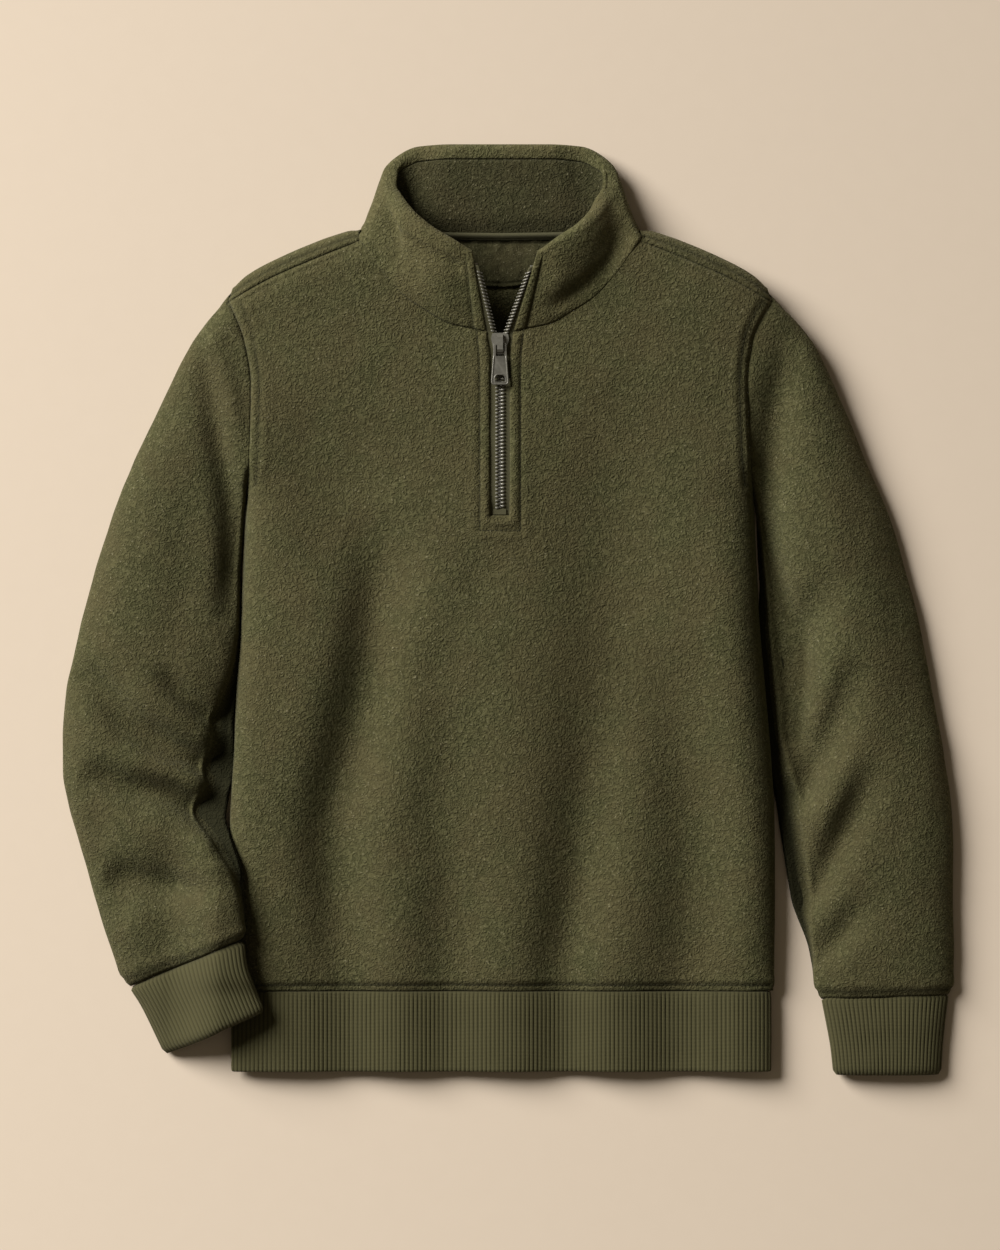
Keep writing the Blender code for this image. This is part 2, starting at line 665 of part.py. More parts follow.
def collars(rings):
    """The outer collar, rolled over at the top, and the inner collar that meets it inside."""
    base, rim, base_in = collar_stations(rings)
    across = -rim[:, 0] * smooth((np.abs(rim[:, 0]) - 30) / 50) / 40
    rim_in = unit(np.stack([across, np.zeros(len(rim)), np.clip((24 - rim[:, 2]) / 16, -1, 1)], -1))
    tall = np.linalg.norm(rim - base, axis=-1, keepdims=True)
    base = base + unit(rim - base) * COLLAR_GAP
    top = tall - ROLL - COLLAR_GAP

    def at(height, depth):
        return collar_point(base, rim, base_in, rim_in, height, depth)

    outside = [at(top * share, 0.0) for share in (0, 0.25, 0.5, 0.75, 1)]
    turns = (math.pi / 4, math.pi / 2, 3 * math.pi / 4)
    roll = [at(top + ROLL * math.sin(a), ROLL * (1 - math.cos(a))) for a in turns]
    leg = [at(top - down, depth) for down, depth in LEG_CORNERS]
    hollow = [at(top + ROLL - CLOTH, ROLL)]
    inside = [at(top * share, CLOTH) for share in (1, 0.75, 0.5, 0.25, 0)]
    swept("collar_outer", np.array(outside + roll + leg + hollow + inside), FLEECE)
    order = np.arange(len(base))
    near_zip = smooth((4 - np.minimum(order, order[::-1])) / 2)[:, None]
    lowest = INNER_DEPTH + near_zip * 2 * GAP
    full = 2 * ROLL - CLOTH
    faces = []
    for share, height in ((0, 0 * top), (1, 0.25 * top), (1, 0.5 * top), (1, top - ROLL_LEG - ROLL_GAP)):
        depth = lowest + (full - lowest) * share
        faces.append((at(height, depth), at(height, depth + CLOTH)))
    swept("collar_inner", np.array([a for a, _ in faces] + [b for _, b in faces][::-1]), FLEECE)
    return at, top, base[:, 2]


def swept(name, profile, colour, roughness=0.95):
    """A solid of a closed profile carried along its stations, with both ends filled."""
    count, stations = profile.shape[:2]
    points = profile.transpose(1, 0, 2).reshape(-1, 3)
    faces = []
    for station in range(stations - 1):
        for i in range(count):
            j = (i + 1) % count
            a, b = station * count + i, station * count + j
            faces.append((a, b, b + count, a + count))
    faces.append(tuple(range(count))[::-1])
    faces.append(tuple((stations - 1) * count + i for i in range(count)))
    return solid(name, points, faces, colour, roughness)


TAPE_BOTTOM, CHAIN_BOTTOM, SPLIT_Y = 441.0, 452.0, 588.0
TAPE_WIDTH, CHAIN_WIDTH, CHAIN_THICK = 14.0, 3.2, 2.2
TAPE_DEPTH = CLOTH + 2 * GAP  # of the tape's face below the fleece's
HALF_MESHED = 0.3  # from the centre to each tape, where the teeth are closed
EDGE_TO_TAPE = (7.2, 3.6)  # from the collar's edge to the tape's, at the neckline and at the rim
SLIDER_TOP, SLIDER_LENGTH, SLIDER_HALF = 592.0, 17.0, 7.1
PLATE = 1.5
BAR_Y, BAR_RADIUS = 583.0, 0.9
PULL_LENGTH, PULL_THICK = 32.5, 1.8
PATCH, PATCH_HALF, PATCH_TOP, PATCH_DEPTH = 1.5, 62.0, 664.0, 38.0


def panel_face(x, y):
    """Height of the front's outer face at one place."""
    return float(front_height(np.array([float(x)]), np.array([float(y)]))[0])


def zip_place(collar_at, side, along, across, depth):
    """A place beside the zip: along it from the tape's bottom (0) to the neckline (1) and the rim (2)."""
    stations = (0, 1) if side < 0 else (-1, -2)
    neck = collar_at(0.0, depth)[stations[0]]
    if along <= 1:
        y = TAPE_BOTTOM + along * (neck[1] - TAPE_BOTTOM)
        opened = abs(neck[0]) - EDGE_TO_TAPE[0] - HALF_MESHED
        x = side * (HALF_MESHED + across + opened * max(y - SPLIT_Y, 0) / (neck[1] - SPLIT_Y))
        return np.array([x, y, panel_face(x, y) - depth])
    height = (along - 1) * 60.0
    edge, beside = (collar_at(height, depth)[i] for i in stations)
    outwards = unit(beside - edge)
    return edge + outwards * (across - EDGE_TO_TAPE[0] - (EDGE_TO_TAPE[1] - EDGE_TO_TAPE[0]) * (along - 1))


def zip_strip(name, collar_at, side, span, faces, width, colour):
    """A strip beside the zip: along it, between two depths and as wide as given."""
    split = (SPLIT_Y - TAPE_BOTTOM) / (593.5 - TAPE_BOTTOM)
    along = np.concatenate([np.linspace(span[0], split, 8), np.linspace(1, span[1], 8)])
    corners = ((0, faces[0]), (width, faces[0]), (width, faces[1]), (0, faces[1]))
    rows = [[zip_place(collar_at, side, share, *corner) for share in along] for corner in corners]
    return swept(name, np.array(rows), colour, 0.8)


def box(name, low, high, colour, roughness, metallic, chamfer=0.4):
    """A block with its upper edges taken off."""
    (x0, y0, z0), (x1, y1, z1) = low, high
    points = []
    for z, c in ((z0, 0), (z1 - chamfer, 0), (z1, chamfer)):
        points += [(x0 + c, y0 + c, z), (x1 - c, y0 + c, z), (x1 - c, y1 - c, z), (x0 + c, y1 - c, z)]
    faces = [(3, 2, 1, 0), (8, 9, 10, 11)]
    for ring in (0, 4):
        faces += [(ring + i, ring + (i + 1) % 4, ring + 4 + (i + 1) % 4, ring + 4 + i) for i in range(4)]
    return solid(name, points, faces, colour, roughness, metallic)


def mirrored(half):
    """The other half of an outline, in the order that closes it."""
    return [(-x, y) for x, y in half[::-1]]


def prism(outline, low, high):
    """Points and faces of an outline in plan given a thickness."""
    count = len(outline)
    points = [(x, y, low) for x, y in outline] + [(x, y, high) for x, y in outline]
    faces = [tuple(range(count))[::-1], tuple(range(count, 2 * count))]
    faces += [(i, (i + 1) % count, count + (i + 1) % count, count + i) for i in range(count)]
    return points, faces


def join(target, other):
    """Adds the other solid to the target with a Boolean, and removes it."""
    modifier = target.modifiers.new("join", "BOOLEAN")
    modifier.operation = "UNION"
    modifier.object = other
    apply(target)
    bpy.data.objects.remove(other)


def cut(target, other):
    """Cuts the other solid out of the target, and removes it."""
    modifier = target.modifiers.new("cut", "BOOLEAN")
    modifier.operation = "DIFFERENCE"
    modifier.object = other
    apply(target)
    bpy.data.objects.remove(other)


def apply(target):
    """Makes the object's modifiers part of its mesh."""
    bpy.context.view_layer.update()
    graph = bpy.context.evaluated_depsgraph_get()
    mesh = bpy.data.meshes.new_from_object(target.evaluated_get(graph))
    target.modifiers.clear()
    target.data = mesh


def slider():
    """The slider: two plates round the chain, the post between the tapes and the bridge for the pull."""
    y1, y0 = SLIDER_TOP, SLIDER_TOP - SLIDER_LENGTH
    top = panel_face(0, y1) - TAPE_DEPTH + CHAIN_THICK + 2 * GAP + PLATE
    bottom = panel_face(0, y0) - TAPE_DEPTH - TAPE - 2 * GAP - PLATE
    half = [(4.6, y0), (5.6, y0 + 5), (SLIDER_HALF, y1 - 4.5), (6.4, y1 - 1), (4.2, y1)]
    outline = half + mirrored(half)
    made = solid("zip_slider", *prism(outline, top - PLATE, top), METAL, 0.35, 1.0)
    under = [(x * 0.9, y) for x, y in outline]
    join(made, solid("under", *prism(under, bottom, bottom + PLATE), METAL, 0.35, 1.0))
    half = [(0.5, y1 - 3.2), (1.7, y1 - 0.2)]
    post = half + mirrored(half)
    join(made, solid("post", *prism(post, bottom + PLATE / 2, top - PLATE / 2), METAL, 0.35, 1.0))
    bar_z = top + GAP + BAR_RADIUS
    foot, inner, outer = top - 0.5, bar_z + 1.5, bar_z + 2.7
    under_side = [(-5.3, foot), (-5.3, bar_z + 0.7), (-3.6, inner)]
    under_side += [(4.6, inner), (6.3, bar_z + 0.7), (6.3, foot)]
    upper_side = [(7.6, foot), (7.6, bar_z + 1.1), (5.4, outer)]
    upper_side += [(-4.4, outer), (-6.5, bar_z + 1.1), (-6.5, foot)]
    bridge = under_side + upper_side
    ring = [(2.3 * s, BAR_Y + y, z) for s in (-1, 1) for y, z in bridge]
    count = len(bridge)
    faces = [tuple(range(count)), tuple(range(count, 2 * count))[::-1]]
    faces += [(i, count + i, count + (i + 1) % count, (i + 1) % count) for i in range(count)]
    join(made, solid("bridge", ring, faces, METAL, 0.35, 1.0))
    return bar_z


def pull(bar_z):
    """The pull tab: its bar under the slider's bridge, the hole round the bridge and the end window."""
    low, high, end = -PULL_THICK / 2, PULL_THICK / 2, -PULL_LENGTH
    half = [(5.6, end), (6.9, end + 1.4), (6.9, end + 4), (5.2, -9), (5.0, 0.9)]
    at = (0, BAR_Y, bar_z)

    def part(name, shape):
        points, faces = prism(shape, low, high)
        return solid(name, np.array(points) + at, faces, METAL, 0.35, 1.0, offset=at)

    made = part("zip_pull", half + mirrored(half))
    eye = [(3.4, -9.6), (3.4, -0.95)]
    window = [(4.1, end + 2.2), (4.1, end + 6), (2.6, end + 8)]
    for name, shape in (("eye", eye), ("window", window)):
        points, faces = prism(shape + mirrored(shape), low - 1, high + 1)
        cut(made, solid(name, np.array(points) + at, faces, METAL, 0.35, 1.0, offset=at))
    wedge = [(x, y, z) for x in (-6, 6) for y, z in ((0.45, 1.2), (1.5, 1.2), (1.5, 0.1))]
    for flip in (1, -1):
        points = [(x, y, z * flip) for x, y, z in wedge]
        faces = [(0, 1, 2), (5, 4, 3), (0, 3, 4, 1), (1, 4, 5, 2), (2, 5, 3, 0)]
        cut(made, solid("corner", np.array(points) + at, faces, METAL, 0.35, 1.0, offset=at))


def zip_fastener(collar_at):
    """The tapes, the two chains as plain strips, the stops, the slider and its pull."""
    chain_start = (CHAIN_BOTTOM - TAPE_BOTTOM) / (593.5 - TAPE_BOTTOM)
    for side, name in ((-1, "right"), (1, "left")):
        tape, chain = (TAPE_DEPTH, TAPE_DEPTH + TAPE), (TAPE_DEPTH - GAP - CHAIN_THICK, TAPE_DEPTH - GAP)
        zip_strip(f"zip_tape_{name}", collar_at, side, (0, 1.93), tape, TAPE_WIDTH, WOVEN)
        zip_strip(f"zip_chain_{name}", collar_at, side, (chain_start, 1.87), chain, CHAIN_WIDTH, METAL)
        x, y, z = zip_place(collar_at, side, 1.91, CHAIN_WIDTH / 2 - 0.2, TAPE_DEPTH - 1.5 * GAP)
        box(f"zip_top_stop_{name}", (x - 1.5, y - 1.2, z), (x + 1.5, y + 1.8, z + 2.4), METAL, 0.35, 1.0)
    z = panel_face(0, 451) - TAPE_DEPTH + GAP
    box("zip_bottom_stop", (-5.2, 447, z), (5.2, 451.6, z + 1.7), METAL, 0.35, 1.0)
    pull(slider())


def neck_finish(collar_at, top, base_height):
    """The tape over the back neck seam and the half-moon patch below it."""
    low = INNER_DEPTH + CLOTH + 2 * GAP
    face = [(3.5, low + 0.6), (-1.2, low), (-6.0, CLOTH + 3 * GAP)]
    profile = face + [(height, depth + TAPE) for height, depth in face[::-1]]
    rows = np.array([collar_at(height * np.ones_like(top), depth) for height, depth in profile])
    swept("neck_tape", rows[:, base_height < 1], WOVEN)
    share = np.linspace(-1, 1, 13)
    x = PATCH_HALF * share
    bottom = PATCH_TOP - 0.5 - PATCH_DEPTH * np.sqrt(1 - (0.995 * share) ** 2)
    level = np.full_like(x, CLOTH + GAP)
    drop = bottom - PATCH_TOP
    rows = np.array([np.column_stack([x, PATCH_TOP + down * drop, level]) for down in (0, 0.5, 1)])
    wall_mesh("back_neck_patch", rows, np.broadcast_to((0.0, 0.0, 1.0), rows.shape), PATCH, FLEECE, 0.95)


def stand_on_origin():
    """Moves every piece so that the origin is the middle of the garment's underside."""
    bpy.context.view_layer.update()
    pieces = [o for o in bpy.data.objects if o.type == "MESH"]
    corners = np.array([list(o.matrix_world @ v.co) for o in pieces for v in o.data.vertices])
    low, high = corners.min(0), corners.max(0)
    for piece in pieces:
        piece.location -= type(piece.location)(((low[0] + high[0]) / 2, (low[1] + high[1]) / 2, low[2]))


def main():
    for old in list(bpy.data.objects):
        bpy.data.objects.remove(old)
    rings = body()
    sleeve(-1, *rings[-1], SLEEVE_RIGHT, CUFF_RIGHT, ride_height)
    sleeve(1, *rings[1], SLEEVE_LEFT, CUFF_LEFT, lambda x, y: np.zeros_like(x))
    hem(*rings["hem"])
    collar_at, top, base_height = collars(rings)
    neck_finish(collar_at, top, base_height)
    zip_fastener(collar_at)
    stand_on_origin()


main()
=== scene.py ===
"""The looks of the fleece pullover: its cloth, ribs, zip and stitching, and the studio round it.

The garment is worked out on a layout in millimetres, as its maker would draw it: X is 0 at the centre front
and runs to the wearer's left, Y is 0 at the bottom of the hem and Z is 0 on the floor. Layout puts it in the
frame.
"""

import logging
import math
from dataclasses import dataclass, field
from enum import Enum
from functools import cached_property

import bpy
import numpy as np
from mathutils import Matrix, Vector


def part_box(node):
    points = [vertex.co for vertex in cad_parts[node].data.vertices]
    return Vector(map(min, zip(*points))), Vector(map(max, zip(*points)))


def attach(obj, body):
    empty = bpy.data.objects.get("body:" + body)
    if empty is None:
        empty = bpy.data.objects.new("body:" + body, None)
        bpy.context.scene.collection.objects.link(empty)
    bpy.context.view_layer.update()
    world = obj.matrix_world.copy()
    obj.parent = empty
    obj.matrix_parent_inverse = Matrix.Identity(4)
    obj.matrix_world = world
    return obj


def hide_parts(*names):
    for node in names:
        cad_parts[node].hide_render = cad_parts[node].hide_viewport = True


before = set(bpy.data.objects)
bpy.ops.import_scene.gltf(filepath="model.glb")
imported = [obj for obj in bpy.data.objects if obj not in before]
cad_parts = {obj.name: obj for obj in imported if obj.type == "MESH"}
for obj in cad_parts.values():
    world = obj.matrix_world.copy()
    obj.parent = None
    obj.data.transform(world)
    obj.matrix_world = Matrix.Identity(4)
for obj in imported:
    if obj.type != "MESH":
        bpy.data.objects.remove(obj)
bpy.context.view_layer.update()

MM = 0.001
FRONT_BODY, PULL_BODY = "garment", "pull_tab"
Array = np.ndarray
log = logging.getLogger("pullover")
WAVE_COUNT = 7  # sine waves in one unevenness


class Side(Enum):
    """The wearer's sides, as the sign of X."""

    RIGHT = -1
    LEFT = 1

    @property
    def word(self) -> str:
        """The side's name as it stands in node names."""
        return self.name.lower()


# ---------------------------------------------------------------- numbers and curves


def smooth(t: Array | float) -> Array:
    """0 to 1 with flat ends: t squared times (3 - 2t)."""
    t = np.clip(t, 0, 1)
    return t * t * (3 - 2 * t)


def unit(vectors: Array) -> Array:
    """The vectors divided by their lengths."""
    return vectors / np.maximum(np.linalg.norm(vectors, axis=-1, keepdims=True), 1e-9)


def bell(away: Array, width: Array | float) -> Array:
    """1 at no distance, falling as a bell: e to the minus (away / width) squared."""
    return np.exp(-((away / width) ** 2))


def quarter_round(away: Array, radius: float) -> Array:
    """How far an edge is turned down this far from it: the radius there, and 0 beyond the radius."""
    return radius - radius * np.sqrt(1 - (1 - np.clip(away / radius, 0, 1)) ** 2)


def path_lengths(path: Array) -> Array:
    """How far along a path of straight lines each of its points is."""
    return np.concatenate([[0], np.cumsum(np.linalg.norm(np.diff(path, axis=0), axis=1))])


def through(knots: Array, values: Array, at: Array | float) -> Array:
    """A smooth curve through given points, flat beyond both ends.

    Formula: a cubic between neighbouring knots, whose slope at a knot is the harmonic mean of the slopes on
    its two sides, or 0 where they disagree in sign, so that it never overshoots.

    Args:
        knots: rising places.
        values: the value at each knot.
        at: where the curve is read.

    Returns:
        The curve's values.
    """
    step = np.diff(knots)
    slope = np.diff(values) / step
    before, after = slope[:-1], slope[1:]
    agree = before * after > 0
    inner = np.where(agree, 2 * before * after / np.where(agree, before + after, 1), 0)
    slopes = np.concatenate([slope[:1], inner, slope[-1:]])
    at = np.clip(at, knots[0], knots[-1])
    i = np.clip(np.searchsorted(knots, at, "right") - 1, 0, len(knots) - 2)
    t, h = (at - knots[i]) / step[i], step[i]
    rise = values[i] * (1 + 2 * t) * (1 - t) ** 2 + values[i + 1] * t * t * (3 - 2 * t)
    return rise + h * (slopes[i] * t * (1 - t) ** 2 - slopes[i + 1] * t * t * (1 - t))


def waves(x: Array, y: Array, length: float, seed: int) -> Array:
    """Gentle unevenness: the mean of several sine waves, each in its own direction.

    Args:
        x: plan places.
        y: plan places.
        length: about how long each wave is.
        seed: of the waves' directions, phases and lengths.

    Returns:
        Values within -1 and 1.
    """
    chance = np.random.default_rng(seed)
    total = np.zeros(np.broadcast(x, y).shape)
    for _ in range(WAVE_COUNT):
        turn, phase = chance.uniform(0, math.tau, 2)
        pace = math.tau / (length * chance.uniform(0.7, 1.5))
        total += np.sin(pace * (x * math.cos(turn) + y * math.sin(turn)) + phase)
    return total / WAVE_COUNT


@dataclass(frozen=True)
class Table:
    """Rows of numbers under named columns, read smoothly between the rows."""

    columns: str
    rows: tuple[tuple[float, ...], ...]

    def get(self, name: str) -> Array:
        """One column as it stands."""
        return np.array([row[self.columns.split().index(name)] for row in self.rows], float)

    def read(self, key: str, at: Array | float, name: str) -> Array:
        """A column where another column has the given values."""
        order = np.argsort(self.get(key))
        return through(self.get(key)[order], self.get(name)[order], at)


@dataclass(frozen=True)
class Crease:
    """A trough through plan points with a depth and a width at each; a negative depth makes it a ridge.

    Its right-hand wall can be wider than its left-hand one.
    """

    points: tuple[tuple[float, float, float, float], ...]
    right: float = 1.0
    samples: int = 25

    @cached_property
    def line(self) -> Array:
        """Its places, depths and widths at even steps.

        Returns:
            Rows of x, y, depth and width.
        """
        rows = np.array(self.points)
        knots, stops = np.linspace(0, 1, len(rows)), np.linspace(0, 1, self.samples)
        return np.stack([through(knots, rows[:, i], stops) for i in range(4)], -1)

    def depth(self, x: Array, y: Array) -> Array:
        """How far the cloth goes down.

        Formula: the line is straight between its steps; the depth at the nearest place on it, times a bell
        of the distance over the width there.

        Args:
            x: plan places.
            y: plan places.

        Returns:
            The depth at each place.
        """
        deep, least = np.zeros(x.shape), np.full(x.shape, np.inf)
        for start, end in zip(self.line[:-1], self.line[1:]):
            step = end - start
            share = ((x - start[0]) * step[0] + (y - start[1]) * step[1]) / (step[0] ** 2 + step[1] ** 2)
            share = np.clip(share, 0, 1)
            dx = x - start[0] - share * step[0]
            wide = (start[3] + share * step[3]) * np.where(dx > 0, self.right, 1.0)
            away = np.hypot(dx, y - start[1] - share * step[1]) / wide
            deep = np.where(away < least, start[2] + share * step[2], deep)
            least = np.minimum(away, least)
        return deep * np.exp(-(least**2))


def total_depth(creases: tuple[Crease, ...], x: Array, y: Array) -> Array:
    """The depths of several creases together."""
    return sum((crease.depth(x, y) for crease in creases), np.zeros(x.shape))


def distance_to(path: Array, x: Array, y: Array) -> Array:
    """Distance in plan from each place to a path of straight lines.

    Args:
        path: corners of the path.
        x: plan places.
        y: plan places.

    Returns:
        The distances.
    """
    start, step = path[:-1], np.diff(path, axis=0)
    dx, dy = x[..., None] - start[:, 0], y[..., None] - start[:, 1]
    t = np.clip((dx * step[:, 0] + dy * step[:, 1]) / (step**2).sum(1), 0, 1)
    return np.hypot(dx - t * step[:, 0], dy - t * step[:, 1]).min(-1)


def resampled(path: Array, spacing: float) -> Array:
    """Even steps along a path of straight lines.

    Args:
        path: corners of the path.
        spacing: about how far apart the points are.

    Returns:
        The points.
    """
    along = path_lengths(path)
    stops = np.linspace(0, along[-1], max(2, round(along[-1] / spacing) + 1))
    return np.stack([np.interp(stops, along, path[:, i]) for i in range(path.shape[1])], -1)


# ---------------------------------------------------------------- meshes


@dataclass(frozen=True)
class Layout:
    """Where the maker's layout lies in the frame: its X is 0 on the zip and its Y is 0 under the hem."""

    x: float
    y: float

    @classmethod
    def of_frame(cls) -> "Layout":
        """The layout's place, from the boxes of the pull and the hem."""
        low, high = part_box("zip_pull")
        return cls((low.x + high.x) / 2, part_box("hem_rib")[0].y)

    def place(self, points: Array) -> Array:
        """Layout millimetres as metres in the frame."""
        return points * MM + np.array([self.x, self.y, 0.0])


LAYOUT = Layout.of_frame()


def put_mesh(
    name: str, points: Array, faces: Array, masks: dict[str, Array] | None = None
) -> bpy.types.Object:
    """An object of quads, turned to face outwards where it is closed.

    Args:
        name: the piece's name.
        points: layout millimetres, one row for each vertex.
        faces: vertex numbers, one row for each face.
        masks: values on the vertices, by attribute name.

    Returns:
        The object, smooth-shaded, at the origin.
    """
    used, renumbered = np.unique(faces, return_inverse=True)
    faces = renumbered.reshape(faces.shape)
    places = LAYOUT.place(points[used])
    corners = places[faces]
    cross = np.cross(corners[:, 2] - corners[:, 0], corners[:, -1] - corners[:, 1])
    if np.sum(cross * corners.mean(1)) < 0:
        faces = faces[:, ::-1]
    mesh = bpy.data.meshes.new(name)
    mesh.vertices.add(len(places))
    mesh.vertices.foreach_set("co", places.astype(np.float32).ravel())
    mesh.loops.add(faces.size)
    mesh.loops.foreach_set("vertex_index", faces.astype(np.int32).ravel())
    mesh.polygons.add(len(faces))
    mesh.polygons.foreach_set("loop_start", np.arange(0, faces.size, faces.shape[1], dtype=np.int32))
    mesh.polygons.foreach_set("use_smooth", np.ones(len(faces), bool))
    mesh.update(calc_edges=True)
    for mask, values in (masks or {}).items():
        attribute = mesh.attributes.new(mask, "FLOAT", "POINT")
        attribute.data.foreach_set("value", values[used].astype(np.float32))
    piece = bpy.data.objects.new(name, mesh)
    bpy.context.collection.objects.link(piece)
    return piece


def grid_faces(rows: int, columns: int, closed: bool = False) -> Array:
    """The quads of a grid of points.

    Args:
        rows: of points.
        columns: of points.
        closed: whether the last column joins the first.

    Returns:
        Vertex numbers, rows by columns by 4.
    """
    row = np.arange(rows - 1)[:, None] * columns
    start = np.arange(columns if closed else columns - 1)
    end = (start + 1) % columns
    return np.stack([row + start, row + end, row + columns + end, row + columns + start], -1)


def grid_inward(points: Array, closed: bool = False) -> Array:
    """Unit vectors into the wall: minus the cross product of the grid's steps across and up.

    Args:
        points: grid of outer points.
        closed: whether the last column joins the first.

    Returns:
        One vector for each point.
    """
    padded = np.concatenate([points[:, -2:], points, points[:, :2]], 1) if closed else points
    across = np.gradient(padded, axis=1)
    across = across[:, 2:-2] if closed else across
    return -unit(np.cross(across, np.gradient(points, axis=0)))


def wall(
    name: str,
    outer: Array,
    inward: Array,
    thickness: float,
    closed: bool = False,
    kept: Array | None = None,
    masks: dict[str, Array] | None = None,
) -> bpy.types.Object:
    """A closed wall of cloth: a grid, the same grid moved inwards, and a strip along every free edge.

    Args:
        name: the piece's name.
        outer: grid of outer points, rows by columns by 3.
        inward: unit vectors into the wall at those points.
        thickness: of the cloth.
        closed: whether the last column joins the first.
        kept: which of the grid's quads exist, or None for all.
        masks: values on the outer grid, by attribute name.

    Returns:
        The wall's object.
    """
    rows, columns = outer.shape[:2]
    count = rows * columns
    quads = grid_faces(rows, columns, closed)
    quads = quads.reshape(-1, 4) if kept is None else quads[kept]
    starts, ends = quads.ravel(), np.roll(quads, -1, 1).ravel()
    forward = starts.astype(np.int64) * count + ends
    free = ~np.isin(forward, ends.astype(np.int64) * count + starts)
    a, b = starts[free], ends[free]
    strips = np.stack([b, a, a + count, b + count], -1)
    faces = np.concatenate([quads, quads[:, ::-1] + count, strips])
    points = np.concatenate([outer.reshape(-1, 3), (outer + inward * thickness).reshape(-1, 3)])
    both = {mask: np.tile(values.ravel(), 2) for mask, values in (masks or {}).items()}
    return put_mesh(name, points, faces, both)


def swept(name: str, profile: Array, masks: dict[str, Array] | None = None) -> bpy.types.Object:
    """A closed profile carried along its stations, each end filled by strips across the profile.

    Args:
        name: the piece's name.
        profile: points of the closed profile by stations by 3.
        masks: values on those points, by attribute name.

    Returns:
        The object.
    """
    count, stations = profile.shape[:2]
    half = count // 2
    points = profile.transpose(1, 0, 2)
    sides = grid_faces(stations, count, closed=True).reshape(-1, 4)
    ring = np.arange(half - 1)
    cap = np.stack([ring, ring + 1, count - 2 - ring, count - 1 - ring], -1)
    far = (stations - 1) * count
    faces = np.concatenate([sides, cap[:, ::-1], cap + far])
    flat = {mask: values.T.ravel() for mask, values in (masks or {}).items()}
    return put_mesh(name, points.reshape(-1, 3), faces, flat)


# ---------------------------------------------------------------- node groups and finishes


class Nodes:
    """A short way to add and link shader nodes in one tree."""

    def __init__(self, tree: bpy.types.NodeTree) -> None:
        """Keeps the tree."""
        self.tree = tree

    def add(
        self, kind: str, inputs: dict[str | int, object] | None = None, **settings: object
    ) -> bpy.types.Node:
        """A node with its settings, whose inputs are numbers, colours or other nodes' sockets.

        Args:
            kind: the node type's name without its ShaderNode prefix.
            inputs: what goes into each input socket, by name or number.
            settings: properties of the node.

        Returns:
            The node.
        """
        node = self.tree.nodes.new(kind if kind.startswith("Node") else f"ShaderNode{kind}")
        for key, value in settings.items():
            setattr(node, key, value)
        for key, value in (inputs or {}).items():
            if isinstance(value, bpy.types.NodeSocket):
                self.tree.links.new(value, node.inputs[key])
            else:
                node.inputs[key].default_value = value
        return node

    def math(self, operation: str, a: object, b: object = 0.0, clamp: bool = False) -> bpy.types.NodeSocket:
        """The result of a Math node."""
        return self.add("Math", {0: a, 1: b}, operation=operation, use_clamp=clamp).outputs[0]

    def mix(self, share: object, a: object, b: object) -> bpy.types.NodeSocket:
        """A colour between two.

        Args:
            share: how much of the second colour.
            a: the first colour.
            b: the second colour.

        Returns:
            The Mix node's colour socket.
        """
        node = self.add("Mix", data_type="RGBA")
        for key, value in ((0, share), (6, a), (7, b)):
            if isinstance(value, bpy.types.NodeSocket):
                self.tree.links.new(value, node.inputs[key])
            else:
                node.inputs[key].default_value = value
        return node.outputs[2]


def new_group(
    name: str, inputs: dict[str, tuple[str, float]], outputs: dict[str, str]
) -> bpy.types.NodeTree:
    """An empty shader node group with named sockets.

    Args:
        name: of the group.
        inputs: kind and default of each input.
        outputs: kind of each output.

    Returns:
        The group's tree.
    """
    tree = bpy.data.node_groups.new(name, "ShaderNodeTree")
    for label, (kind, default) in inputs.items():
        socket = tree.interface.new_socket(label, in_out="INPUT", socket_type=f"NodeSocket{kind}")
        if kind == "Float":
            socket.default_value = default
    for label, kind in outputs.items():
        tree.interface.new_socket(label, in_out="OUTPUT", socket_type=f"NodeSocket{kind}")
    return tree


def pile_group() -> bpy.types.NodeTree:
    """Brushed fleece: short curled nubs out of distorted noise, with fine fibres over them and slow clouds.

    Returns:
        The group: a height, and masks for raised tips, which get painted light, for painted glints on the
            nubs, and for large soft patches.
    """
    tree = new_group(
        "fleece_pile",
        {"Place": ("Vector", 0), "Nub": ("Float", 3.6)},
        {"Height": "Float", "Tip": "Float", "Glint": "Float", "Cloud": "Float"},
    )
    n = Nodes(tree)
    come, go = n.add("NodeGroupInput"), n.add("NodeGroupOutput")
    place = come.outputs["Place"]
    pace = n.math("DIVIDE", 1000.0, come.outputs["Nub"])
    curl = n.add("TexNoise", {"Vector": place, "Scale": pace, "Detail": 1.5, "Roughness": 0.6})
    curl.inputs["Distortion"].default_value = 1.5
    nubs = n.add("MapRange", {"Value": curl.outputs["Fac"], "From Min": 0.36, "From Max": 0.62}).outputs[0]
    fine = n.add("TexNoise", {"Vector": place, "Scale": n.math("MULTIPLY", pace, 2.6), "Detail": 1.0})
    fibre = fine.outputs["Fac"]
    # painted glints: bright specks where the fine fibres peak, kept to the raised nubs
    glint = n.add("MapRange", {"Value": fibre, "From Min": 0.64, "From Max": 0.74}).outputs[0]
    cloud = n.add("TexNoise", {"Vector": place, "Scale": 22.0, "Detail": 4.0, "Roughness": 0.6})
    tree.links.new(n.math("ADD", nubs, n.math("MULTIPLY", fibre, 0.35)), go.inputs["Height"])
    # where the pile stands up: the fleece paints light there and shade in the hollows between
    tip = n.math("ADD", n.math("MULTIPLY", nubs, 0.6), n.math("MULTIPLY", fibre, 0.4))
    tree.links.new(tip, go.inputs["Tip"])
    tree.links.new(n.math("MULTIPLY", glint, nubs), go.inputs["Glint"])
    tree.links.new(cloud.outputs["Fac"], go.inputs["Cloud"])
    return tree


